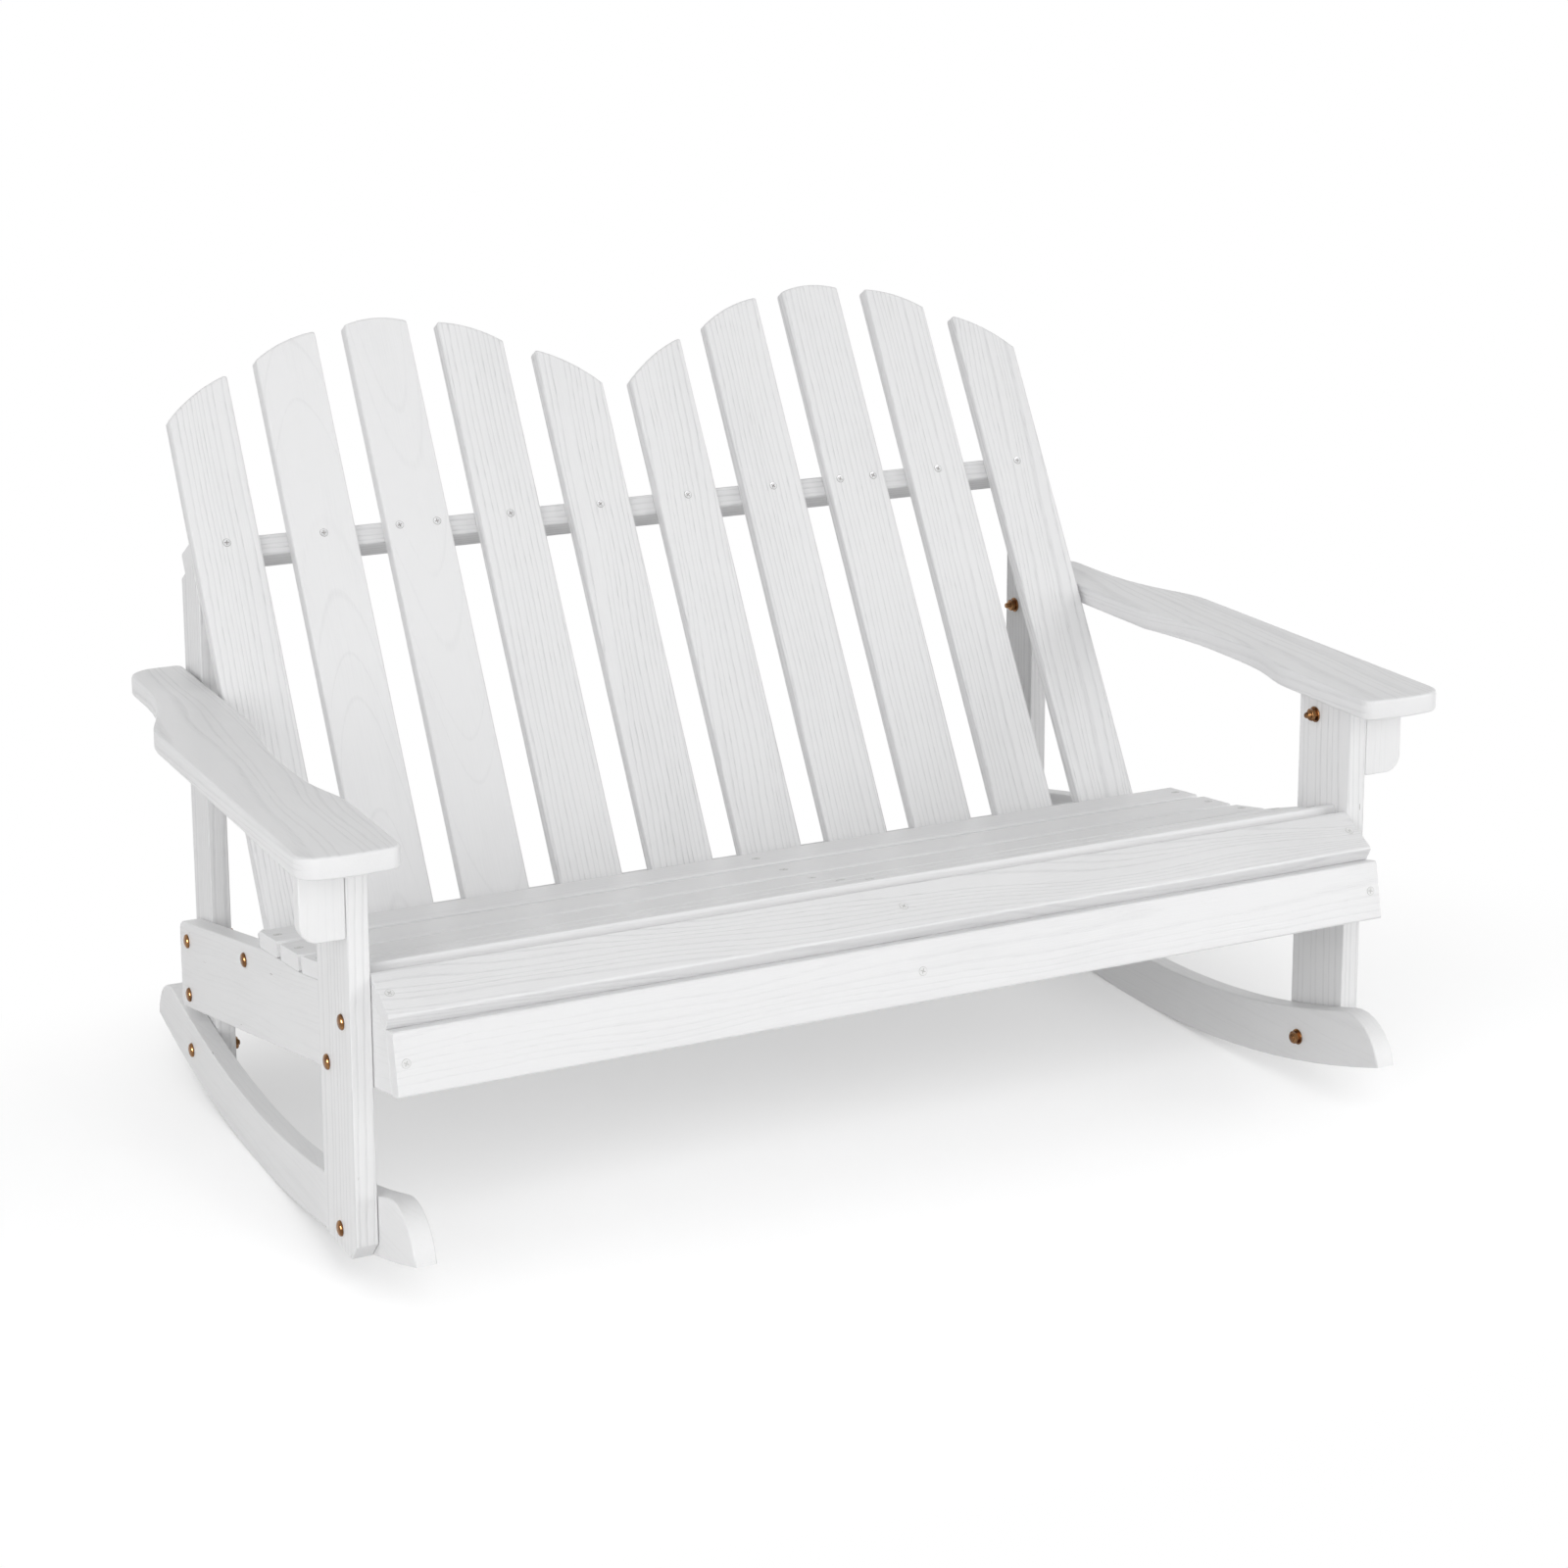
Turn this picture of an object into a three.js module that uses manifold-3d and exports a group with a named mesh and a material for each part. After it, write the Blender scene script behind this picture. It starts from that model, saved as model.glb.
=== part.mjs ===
// Double rocking bench of painted softwood boards on two curved rockers, in millimetres.
// X runs along the bench, Y from the sitters' feet to the back, Z up from the ground.
// While it is built, Y is counted from the front faces of the front legs.

import * as THREE from 'three';
import { mergeVertices } from 'three/addons/utils/BufferGeometryUtils.js';
import Module from 'manifold-3d';

const wasm = await Module();
wasm.setup();

// Stock and clearances
const frameThickness = 20;
const boardThickness = 16;
const touchGap = 0.3;
const edgeRound = 2.5;
const frameEase = 1.6;
const slatEase = 2.2;
const cutOverrun = 4;

// Overall layout
const widthOverLegs = 1050;
const rockerFrontOverhang = 91;
const rockerRearOverhang = 85;

// Rockers
const rockerBottomRadius = 1375;
const rockerTopRadius = 1265;
const rockerDepth = 53.5;
const rockerLowShare = 0.578;
const rockerNoseRadius = 50;
const rockerRestLength = 40;

// Front legs
const legDepth = 86;
const legFootHeight = 43.6;
const legFrontChamfer = 18;
const legRearRound = 8;

// Sloping seat sides, which also carry the rear posts
const sideFrontHeight = 214.8;
const sideFrontOverhang = 46;
const sideFrontDepth = 55.4;
const sideDepth = 89.6;
const sideSlope = THREE.MathUtils.degToRad(11.9);
const sideRearSetback = 9;
const sideTopRearRound = 14;
const sideBottomRearRound = 8;

// Seat boards, laid on three facets of the seat sides, and the sloping board in front of them
const seatBoardWidth = 54;
const seatBoardGap = 10;
const seatBoardLip = 3;
const noseBoardWidth = 53;
const noseLip = 2.5;
const apronRise = 1.2;
const seamRound = 0.6;
const noseSlope = THREE.MathUtils.degToRad(28.6);
const frontFacet = { boards: 2, slope: THREE.MathUtils.degToRad(17.6) };
const middleFacet = { boards: 1, slope: THREE.MathUtils.degToRad(11.4) };
const rearFacet = { boards: 2, slope: THREE.MathUtils.degToRad(6.8) };

// Reclined back
const recline = THREE.MathUtils.degToRad(30.9);
const seatToBackGap = 43;
const slatCount = 10;
const slatWidth = 68;
const slatSideClearance = 0.7;
const slatFootRise = 222;
const slatPeakRise = 886;
const slatCornerRound = 3;
const upperRailRise = 647.6;
const upperRailWidth = 22;
const upperRailDepth = 40;
const upperRailInset = 3.5;
const lowerRailRise = 225;
const lowerRailWidth = 50;
const lowerRailThickness = 20;

// Arcs of the slats' tips, outwards from the middle slat of each half of the back. The drops
// are taken from the peak to the arc's ends, on the side of the middle slat and away from it.
const middleTip = { radius: 100, nearDrop: 6, farDrop: 6 };
const nextTip = { radius: 144, nearDrop: 9.8, farDrop: 36.9 };
const outerTip = { radius: 174, nearDrop: 49.1, farDrop: 93.2 };

// Rear posts
const postDepth = 57;
const postRailMargin = 4;
const postFootHeight = 28;

// Arms
const armThickness = 20;
const armUnderside = 415.4;
const armFrontOverhang = 48;
const armSideOverhang = 55;
const armPostClearance = 4.2;
const armTailWidth = 57;
const armTailLength = 66;
const armShoulderLength = 168;
const armShoulderFrontPull = 40;
const armShoulderRearPull = 100;
const armHollowSetback = 2;
const armHollowDepth = 15.6;
const armHollowRise = 112;
const armHollowStartPull = 35;
const armHollowFlatPull = 65;
const armHollowFlat = 40;
const armHollowFall = 116;
const armHollowFallPull = 50;
const armFrontBow = 5;
const armFrontBowRound = 140;
const armFrontOuterRound = 22;
const armFrontInnerRound = 12;
const armRearOuterRound = 27;
const armRearInnerRound = 7;
const armEase = 2.6;

// Brackets and cleats under the arms
const bracketReach = 41;
const bracketHeight = 72;
const bracketThickness = 15;
const bracketRound = 17;
const cleatHeight = 42;
const frontCleatLength = 66;

// Carriage bolts with washers and hexagon nuts
const boltDiameter = 6.35;
const boltHeadDiameter = 14.3;
const boltHeadRim = 0.8;
const boltHeadDome = 2.8;
const boltTail = 2;
const armBoltTail = 5;
const boltClearance = 0.3;
const boltSeatGap = 0.1;
const railBoltReach = 44;
const washerDiameter = 15.9;
const washerThickness = 1.5;
const nutAcrossCorners = 12.8;
const nutThickness = 5.4;
const legBoltInset = 21.5;
const legUpperBoltDrop = 32;
const legLowerBoltRise = 19;
const cleatBoltInset = 27;
const postBoltInset = 20;
const postCleatBoltInset = 20;
const postUpperBoltDrop = 19.5;
const postLowerBoltRise = 15;
const rockerBoltDrop = 2.7;

// Facets of the round forms: how far a facet may stray from its arc, and plain counts
const arcTolerance = 0.08;
const rockerSteps = 24;
const curveSteps = 9;
const easeSteps = 2;
const boltSides = 10;
const nutSides = 6;

// Paint and metal
const paint = { color: '#e3e3e2', roughness: 0.42, metalness: 0 };
const sidePaint = { color: '#d9d9d8', roughness: 0.46, metalness: 0 };
const yellowZinc = { color: '#b9853c', roughness: 0.28, metalness: 1 };

// Planes of the two side frames, from outside in
const legOuterX = widthOverLegs / 2;
const legInnerX = legOuterX - frameThickness;
const sideOuterX = legInnerX - touchGap;
const sideInnerX = sideOuterX - frameThickness;
const postOuterX = sideInnerX - touchGap;
const postInnerX = postOuterX - frameThickness;

// Key points of a side view are Vector2s of Y and Z.
const point = (y, z) => new THREE.Vector2(y, z);
const heading = (angle) => new THREE.Vector2(Math.cos(angle), Math.sin(angle));
const along = (start, direction, distance) => start.clone().addScaledVector(direction, distance);

// Where two lines of a side view meet, each given by a point and a direction.
function meeting(startA, headingA, startB, headingB) {
  const between = startB.clone().sub(startA);
  const distance = between.cross(headingB) / headingA.cross(headingB);
  return along(startA, headingA, distance);
}

const angleFrom = (centre, target) => target.clone().sub(centre).angle();

function arcPoints(centre, radius, startAngle, endAngle, steps) {
  return Array.from({ length: steps + 1 }, (_, i) => {
    const angle = THREE.MathUtils.lerp(startAngle, endAngle, i / steps);
    return along(centre, heading(angle), radius);
  });
}

// Enough facets for an arc to stay within the tolerance.
function arcSteps(radius, turn) {
  const facetTurn = 2 * Math.acos(1 - arcTolerance / radius);
  return Math.max(1, Math.ceil(Math.abs(turn) / facetTurn));
}

// An outline's corner, sharp or with a rounding radius.
const corner = (at, round = 0) => ({ at, round });

// Arc that rounds one corner of an outline, given its two neighbours.
function cornerArc(before, here, after) {
  if (!here.round) return [here.at.clone()];
  const toBefore = before.at.clone().sub(here.at).normalize();
  const toAfter = after.at.clone().sub(here.at).normalize();
  const halfAngle = Math.acos(toBefore.dot(toAfter)) / 2;
  const bisector = toBefore.clone().add(toAfter).normalize();
  const centre = along(here.at, bisector, here.round / Math.sin(halfAngle));
  const start = along(here.at, toBefore, here.round / Math.tan(halfAngle));
  const turn = Math.PI - 2 * halfAngle;
  const sense = Math.sign(toAfter.cross(toBefore));
  const steps = arcSteps(here.round, turn);
  const startAngle = angleFrom(centre, start);
  return arcPoints(centre, here.round, startAngle, startAngle + sense * turn, steps);
}

// Closed outline through counter-clockwise corners, each with its own rounding.
function roundedShape(corners) {
  const count = corners.length;
  const arcs = corners.map((here, i) => (
    cornerArc(corners[(i + count - 1) % count], here, corners[(i + 1) % count])
  ));
  return new THREE.Shape(arcs.flat());
}

// Seat side: a sloping straight board with its front cut square and its top cut in facets.
const sideRearward = heading(-sideSlope);
const sideUpward = heading(Math.PI / 2 - sideSlope);
const seatBoardPitch = seatBoardWidth + seatBoardGap;
const frontTurn = noseSlope + sideSlope;
const noseFacetMargin = touchGap + apronRise * Math.sin(frontTurn) - touchGap * Math.cos(frontTurn);
const sideFrontLow = point(-sideFrontOverhang, sideFrontHeight);
const sideFrontHigh = along(sideFrontLow, sideUpward, sideFrontDepth);
const noseFacetLength = noseLip + noseBoardWidth + noseFacetMargin;
const seatPeak = along(sideFrontHigh, heading(noseSlope), noseFacetLength);
const middleStart = along(seatPeak, heading(-frontFacet.slope), frontFacet.boards * seatBoardPitch);
const rearStart = along(middleStart, heading(-middleFacet.slope), middleFacet.boards * seatBoardPitch);
const sideTopFront = along(sideFrontLow, sideUpward, sideDepth);
const rearFacetEnd = meeting(rearStart, heading(-rearFacet.slope), sideTopFront, sideRearward);

const sideBottomAt = (y) => sideFrontLow.y - (y - sideFrontLow.x) * Math.tan(sideSlope);
const sideTopAt = (y) => sideTopFront.y - (y - sideTopFront.x) * Math.tan(sideSlope);

// The back plane is the slats' front face. It starts a set gap behind the rearmost seat board.
const rearFacetLength = rearFacet.boards * seatBoardPitch - seatBoardGap;
const rearBoardEnd = along(rearStart, heading(-rearFacet.slope), rearFacetLength);
const backFootY = rearBoardEnd.x + seatToBackGap - rearBoardEnd.y * Math.tan(recline);
const backUp = heading(Math.PI / 2 - recline);
const backInward = heading(-recline);

// A side-view point at a rise along the slats and a depth behind their front faces.
function backPoint(rise, depth) {
  return along(along(point(backFootY, 0), backUp, rise), backInward, depth);
}

const slatBack = boardThickness + touchGap;
const railRear = backPoint(upperRailRise, slatBack + upperRailDepth);
const postRearY = railRear.x + postRailMargin;
const postFrontY = postRearY - postDepth;
const sideRearY = postRearY - sideRearSetback;

// Rocker: two long arcs about one low point, closed by a round nose at each end.
const rockerFrontY = -rockerFrontOverhang;
const rockerRearY = postRearY + rockerRearOverhang;
const rockerLowY = rockerFrontY + (rockerRearY - rockerFrontY) * rockerLowShare;
const rockerBottomCentre = point(
  rockerLowY, Math.sqrt(rockerBottomRadius ** 2 - (rockerRestLength / 2) ** 2));
const rockerTopCentre = point(rockerLowY, rockerDepth + rockerTopRadius);

function arcHeight(centre, radius, y) {
  return centre.y - Math.sqrt(radius ** 2 - (y - centre.x) ** 2);
}
const rockerBottomAt = (y) => arcHeight(rockerBottomCentre, rockerBottomRadius, y);
const rockerTopAt = (y) => arcHeight(rockerTopCentre, rockerTopRadius, y);
const rockerMiddleAt = (y) => (rockerBottomAt(y) + rockerTopAt(y)) / 2;

// The nose circle passes through the tip and touches the top arc from below.
function rockerNoseCentre(tipY) {
  const tip = point(tipY, rockerBottomAt(tipY));
  const toTip = tip.clone().sub(rockerTopCentre);
  const reach = rockerTopRadius + rockerNoseRadius;
  const forward = (toTip.lengthSq() + reach ** 2 - rockerNoseRadius ** 2) / (2 * toTip.length());
  const aside = Math.sqrt(reach ** 2 - forward ** 2);
  const direction = toTip.clone().normalize();
  const inward = point(-direction.y, direction.x).multiplyScalar(Math.sign(direction.y * toTip.x));
  return along(along(rockerTopCentre, direction, forward), inward, aside);
}

function rockerShape() {
  const frontNose = rockerNoseCentre(rockerFrontY);
  const rearNose = rockerNoseCentre(rockerRearY);
  const frontTip = point(rockerFrontY, rockerBottomAt(rockerFrontY));
  const rearTip = point(rockerRearY, rockerBottomAt(rockerRearY));
  const steps = Math.ceil(rockerSteps / 3);
  const rearTouch = angleFrom(rockerTopCentre, rearNose);
  const frontTouch = angleFrom(rockerTopCentre, frontNose);
  const bottomArc = (from, to) => arcPoints(
    rockerBottomCentre, rockerBottomRadius,
    angleFrom(rockerBottomCentre, from), angleFrom(rockerBottomCentre, to), rockerSteps / 2);
  return new THREE.Shape([
    ...bottomArc(frontTip, point(rockerLowY - rockerRestLength / 2, 0)),
    ...bottomArc(point(rockerLowY + rockerRestLength / 2, 0), rearTip),
    ...arcPoints(rearNose, rockerNoseRadius,
      angleFrom(rearNose, rearTip), rearTouch - Math.PI, steps).slice(1),
    ...arcPoints(rockerTopCentre, rockerTopRadius, rearTouch, frontTouch, rockerSteps).slice(1),
    ...arcPoints(frontNose, rockerNoseRadius,
      frontTouch - Math.PI, angleFrom(frontNose, frontTip), steps).slice(1, -1),
  ]);
}

// Board cut to an outline, lying flat from zero up to its thickness, with eased edges.
function boardFrom(shape, thickness, ease) {
  const geometry = new THREE.ExtrudeGeometry(shape, {
    steps: 1,
    depth: thickness - 2 * ease,
    bevelEnabled: true,
    bevelThickness: ease,
    bevelSize: ease,
    bevelOffset: -ease,
    bevelSegments: easeSteps,
  });
  return geometry.translate(0, 0, ease);
}

// Stands an outline drawn in Y and Z on edge, so that its thickness runs along X.
const onEdge = new THREE.Matrix4().makeBasis(
  new THREE.Vector3(0, 1, 0),
  new THREE.Vector3(0, 0, 1),
  new THREE.Vector3(1, 0, 0),
);

function sideBoard(shape, thickness) {
  return boardFrom(shape, thickness, frameEase).applyMatrix4(onEdge);
}

// Straight board along X, centred, with its section's low front corner on the origin.
function lengthBoard(depth, height, length, frontRound = edgeRound, rearRound = edgeRound) {
  const section = roundedShape([
    corner(point(0, 0), frontRound),
    corner(point(depth, 0), rearRound),
    corner(point(depth, height), edgeRound),
    corner(point(0, height), edgeRound),
  ]);
  const settings = { steps: 1, depth: length, bevelEnabled: false };
  const geometry = new THREE.ExtrudeGeometry(section, settings);
  return geometry.applyMatrix4(onEdge).translate(-length / 2, 0, 0);
}

// Closed solids for cutting and back again.
function toSolid(geometry) {
  const bare = geometry.clone();
  bare.deleteAttribute('normal');
  bare.deleteAttribute('uv');
  const welded = mergeVertices(bare);
  return new wasm.Manifold(new wasm.Mesh({
    numProp: 3,
    vertProperties: new Float32Array(welded.attributes.position.array),
    triVerts: new Uint32Array(welded.index.array),
  }));
}

function toGeometry(solid) {
  const mesh = solid.getMesh();
  const geometry = new THREE.BufferGeometry();
  geometry.setAttribute('position', new THREE.BufferAttribute(mesh.vertProperties, 3));
  geometry.setIndex(new THREE.BufferAttribute(mesh.triVerts, 1));
  geometry.computeVertexNormals();
  return geometry;
}

// Cuts a tool given in the bench's frame out of a mesh that is already in its place.
function drill(mesh, tool) {
  mesh.updateWorldMatrix(true, false);
  const intoMesh = mesh.matrixWorld.clone().invert();
  const placedTool = toSolid(tool.applyMatrix4(intoMesh));
  mesh.geometry = toGeometry(toSolid(mesh.geometry).subtract(placedTool));
}

// Round form about Y from a profile of radii and heights.
function turned(profile, facets) {
  const points = profile.map(([radius, height]) => new THREE.Vector2(radius, height));
  return new THREE.LatheGeometry(points, facets);
}

// Carriage bolt about Y with the seat of its domed head at zero, its washer and nut in one solid.
function boltSolid(bolt) {
  const shank = boltDiameter / 2;
  const head = boltHeadDiameter / 2;
  const ring = washerDiameter / 2;
  const washerSeat = bolt.outerX - bolt.innerX + boltSeatGap;
  const nutSeat = washerSeat + washerThickness;
  const washer = [[shank, -nutSeat], [ring, -nutSeat], [ring, -washerSeat], [shank, -washerSeat]];
  const body = turned([
    [0, -bolt.reach],
    [shank, -bolt.reach],
    ...(bolt.nutted ? washer : []),
    [shank, 0],
    [head, 0],
    [head, boltHeadRim],
    [head * Math.cos(Math.PI / 4), boltHeadRim + boltHeadDome * Math.sin(Math.PI / 4)],
    [0, boltHeadRim + boltHeadDome],
  ], boltSides);
  if (!bolt.nutted) return body;
  const ringPoints = arcPoints(point(0, 0), nutAcrossCorners / 2, 0, 2 * Math.PI, nutSides);
  const hexagon = new THREE.Shape(ringPoints.slice(0, -1));
  const settings = { steps: 1, depth: nutThickness, bevelEnabled: false };
  const nut = new THREE.ExtrudeGeometry(hexagon, settings);
  nut.rotateX(-Math.PI / 2).translate(0, -nutSeat - nutThickness, 0);
  return toGeometry(toSolid(body).add(toSolid(nut)));
}

function boltHole(bolt) {
  const radius = boltDiameter / 2 + boltClearance;
  return turned([
    [0, -bolt.reach - boltClearance],
    [radius, -bolt.reach - boltClearance],
    [radius, cutOverrun],
    [0, cutOverrun],
  ], boltSides);
}

// Turns a bolt's own Y axis outward along X, on one side of the bench.
function acrossBench(geometry, bolt, side) {
  const outward = new THREE.Vector3(side, 0, 0);
  const turn = new THREE.Quaternion().setFromUnitVectors(new THREE.Vector3(0, 1, 0), outward);
  return geometry
    .applyQuaternion(turn)
    .translate(side * (bolt.outerX + boltSeatGap), bolt.y, bolt.z);
}

const bench = new THREE.Group();
const back = new THREE.Group();
back.position.set(0, backFootY, 0);
back.rotation.x = Math.PI / 2 - recline;
bench.add(back);

const sides = { left: -1, right: 1 };
const pieces = {};

function place(parent, name, geometry, finish, x, y, z) {
  const material = new THREE.MeshStandardMaterial({ ...finish, flatShading: true });
  const mesh = new THREE.Mesh(geometry, material);
  mesh.name = name;
  mesh.position.set(x, y, z);
  parent.add(mesh);
  pieces[name] = mesh;
  return mesh;
}

// Two like boards on edge, one in each side frame, from an inner face outwards.
function placePair(name, shape, thickness, innerX) {
  place(bench, `${name}_left`, sideBoard(shape, thickness), sidePaint, -innerX - thickness, 0, 0);
  place(bench, `${name}_right`, sideBoard(shape, thickness), sidePaint, innerX, 0, 0);
}

function makeRockers() {
  placePair('rocker', rockerShape(), frameThickness, sideInnerX);
}

function makeLegs() {
  const top = armUnderside - touchGap;
  const outline = roundedShape([
    corner(point(0, legFootHeight + legFrontChamfer), edgeRound),
    corner(point(legFrontChamfer, legFootHeight), edgeRound),
    corner(point(legDepth, legFootHeight), legRearRound),
    corner(point(legDepth, top)),
    corner(point(0, top)),
  ]);
  placePair('front_leg', outline, frameThickness, legInnerX);
}

// Rear post: its front is bevelled to the back's slope and its top cut square to the slats.
function makePosts() {
  const upward = point(0, 1);
  const cutRise = upperRailRise - touchGap;
  const topFront = backPoint(cutRise, slatBack);
  const outline = roundedShape([
    corner(point(postFrontY, postFootHeight)),
    corner(point(postRearY, postFootHeight)),
    corner(meeting(topFront, backInward, point(postRearY, 0), upward), edgeRound),
    corner(topFront),
    corner(meeting(topFront, backUp, point(postFrontY, 0), upward)),
  ]);
  placePair('rear_post', outline, frameThickness, postInnerX);
}

const seatFront = [corner(seatPeak), corner(sideFrontHigh), corner(sideFrontLow, edgeRound)];
const seatFacets = [corner(rearFacetEnd), corner(rearStart), corner(middleStart)];

function makeSeatSides() {
  const outline = roundedShape([
    ...seatFront,
    corner(point(sideRearY, sideBottomAt(sideRearY)), sideBottomRearRound),
    corner(point(sideRearY, sideTopAt(sideRearY)), sideTopRearRound),
    ...seatFacets,
  ]);
  placePair('seat_side', outline, frameThickness, sideInnerX);
}

// The middle bearer runs back between the two middle slats to the lower back rail.
function makeSeatBearer() {
  const railFace = backPoint(0, boardThickness);
  const outline = roundedShape([
    ...seatFront,
    corner(meeting(railFace, backUp, sideFrontLow, sideRearward), edgeRound),
    corner(meeting(railFace, backUp, sideTopFront, sideRearward), edgeRound),
    ...seatFacets,
  ]);
  place(bench, 'seat_middle_bearer', sideBoard(outline, frameThickness), sidePaint,
    -frameThickness / 2, 0, 0);
}

// A board lying on a facet that starts at a point and runs along a heading. The rounds are those
// of the two edges on the facet.
function layBoard(name, start, direction, width, startRound, endRound) {
  const outward = point(-direction.y, direction.x);
  const low = along(start, outward, touchGap);
  const geometry = lengthBoard(width, boardThickness, 2 * sideOuterX, startRound, endRound);
  const board = place(bench, name, geometry, paint, 0, low.x, low.y);
  board.rotation.x = direction.angle();
}

// Seat boards are numbered from the back of the seat to its front.
function makeSeatBoards() {
  const facets = [
    { start: rearStart, ...rearFacet },
    { start: middleStart, ...middleFacet },
    { start: seatPeak, ...frontFacet },
  ];
  let number = 0;
  for (const { start, boards, slope } of facets) {
    const direction = heading(-slope);
    for (let i = boards - 1; i >= 0; i -= 1) {
      number += 1;
      const lip = along(start, direction, i * seatBoardPitch + seatBoardLip);
      layBoard(`seat_board_${number}`, lip, direction, seatBoardWidth);
    }
  }
}

// The nose board's foot and the apron's top rear edge meet in a tight seam.
function makeFrontBoards() {
  const noseHeading = heading(noseSlope);
  const noseFoot = along(seatPeak, noseHeading, -noseLip - noseBoardWidth);
  layBoard('nose_board', noseFoot, noseHeading, noseBoardWidth, seamRound);
  const apronWidth = sideFrontDepth + apronRise;
  layBoard('apron_board', sideFrontLow, sideUpward, apronWidth, edgeRound, seamRound);
}

// Slats lie in the back's own plane: x runs along the bench and y rises along the slats.
const slatOuterX = sideInnerX - slatSideClearance;
const slatPitch = (2 * slatOuterX - slatWidth) / (slatCount - 1);
const slatsPerHalf = slatCount / 2;
const slatTips = [middleTip, nextTip, outerTip];

// Arc of a radius over two points, from the right one to the left one.
function archPoints(right, left, radius) {
  const halfChord = left.clone().sub(right).divideScalar(2);
  const depth = Math.sqrt(radius ** 2 - halfChord.lengthSq());
  const downward = point(-halfChord.y, halfChord.x).normalize();
  const centre = along(right.clone().add(halfChord), downward, depth);
  const startAngle = angleFrom(centre, right);
  const endAngle = angleFrom(centre, left);
  return arcPoints(centre, radius, startAngle, endAngle, arcSteps(radius, endAngle - startAngle));
}

// Each slat ends in an arc of its own. Its rank counts slats from the middle of its half.
function slatShape(rank) {
  const tip = slatTips[Math.min(Math.floor(Math.abs(rank)), slatTips.length - 1)];
  const { nearDrop, farDrop } = tip;
  const [leftDrop, rightDrop] = rank > 0 ? [nearDrop, farDrop] : [farDrop, nearDrop];
  const edge = slatWidth / 2;
  const arch = archPoints(
    point(edge, slatPeakRise - rightDrop), point(-edge, slatPeakRise - leftDrop), tip.radius);
  const leftEnd = arch.pop();
  const [rightEnd, ...crown] = arch;
  return roundedShape([
    corner(point(-edge, slatFootRise), slatCornerRound),
    corner(point(edge, slatFootRise), slatCornerRound),
    corner(rightEnd, slatCornerRound),
    ...crown.map((at) => corner(at)),
    corner(leftEnd, slatCornerRound),
  ]);
}

function makeSlats() {
  for (let i = 0; i < slatCount; i += 1) {
    const name = `back_slat_${String(i + 1).padStart(2, '0')}`;
    const x = (i - (slatCount - 1) / 2) * slatPitch;
    const rank = i % slatsPerHalf - (slatsPerHalf - 1) / 2;
    const slat = boardFrom(slatShape(rank), boardThickness, slatEase);
    place(back, name, slat, paint, x, 0, -boardThickness);
  }
}

function makeBackRails() {
  const upperLength = 2 * (sideInnerX - upperRailInset);
  place(back, 'upper_back_rail', lengthBoard(upperRailWidth, upperRailDepth, upperLength),
    paint, 0, upperRailRise, -slatBack - upperRailDepth);
  place(back, 'lower_back_rail', lengthBoard(lowerRailWidth, lowerRailThickness, 2 * postOuterX),
    paint, 0, lowerRailRise, -slatBack - lowerRailThickness);
}

const mirrored = (corners) => (
  corners.map(({ at, round }) => corner(point(-at.x, at.y), round)).reverse()
);

// Right arm from above: wide in front with a hollowed inner edge, then an S curve to a narrow tail.
function armCorners() {
  const inner = postOuterX + armPostClearance;
  const hollow = inner + armHollowDepth;
  const outer = legOuterX + armSideOverhang;
  const tail = inner + armTailWidth;
  const front = -armFrontOverhang;
  const shoulderEnd = postRearY - armTailLength;
  const shoulderStart = shoulderEnd - armShoulderLength;
  const hollowStart = legDepth + armHollowSetback;
  const hollowFlat = hollowStart + armHollowRise;
  const hollowFall = hollowFlat + armHollowFlat;
  const shoulder = new THREE.CubicBezierCurve(
    point(outer, shoulderStart),
    point(outer, shoulderStart + armShoulderFrontPull),
    point(tail, shoulderEnd - armShoulderRearPull),
    point(tail, shoulderEnd),
  );
  const fall = new THREE.QuadraticBezierCurve(
    point(inner, hollowFall + armHollowFall),
    point(hollow, hollowFall + armHollowFallPull),
    point(hollow, hollowFall),
  );
  const rise = new THREE.CubicBezierCurve(
    point(hollow, hollowFlat),
    point(hollow, hollowFlat - armHollowFlatPull),
    point(inner, hollowStart + armHollowStartPull),
    point(inner, hollowStart),
  );
  const plain = (curve) => curve.getPoints(curveSteps).map((at) => corner(at));
  return [
    corner(point(inner, front), armFrontInnerRound),
    corner(point((inner + outer) / 2, front - armFrontBow), armFrontBowRound),
    corner(point(outer, front), armFrontOuterRound),
    ...plain(shoulder),
    corner(point(tail, postRearY), armRearOuterRound),
    corner(point(inner, postRearY), armRearInnerRound),
    ...plain(fall),
    ...plain(rise),
  ];
}

function makeArms() {
  const right = armCorners();
  const outlines = { left: mirrored(right), right };
  for (const [name, corners] of Object.entries(outlines)) {
    const arm = boardFrom(roundedShape(corners), armThickness, armEase);
    place(bench, `arm_${name}`, arm, paint, 0, 0, armUnderside);
  }
}

// Bracket: a plate across the leg's outer face, under the front of the arm.
const bracketInnerX = legOuterX + touchGap;

function makeBrackets() {
  const top = armUnderside - touchGap;
  const outerX = bracketInnerX + bracketReach;
  const right = [
    corner(point(bracketInnerX, top - bracketHeight), edgeRound),
    corner(point(outerX, top - bracketHeight), bracketRound),
    corner(point(outerX, top)),
    corner(point(bracketInnerX, top)),
  ];
  const outlines = { left: mirrored(right), right };
  for (const [name, corners] of Object.entries(outlines)) {
    const plate = boardFrom(roundedShape(corners), bracketThickness, frameEase);
    plate.rotateX(Math.PI / 2);
    place(bench, `arm_bracket_${name}`, plate, sidePaint, 0, bracketThickness, 0);
  }
}

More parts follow.
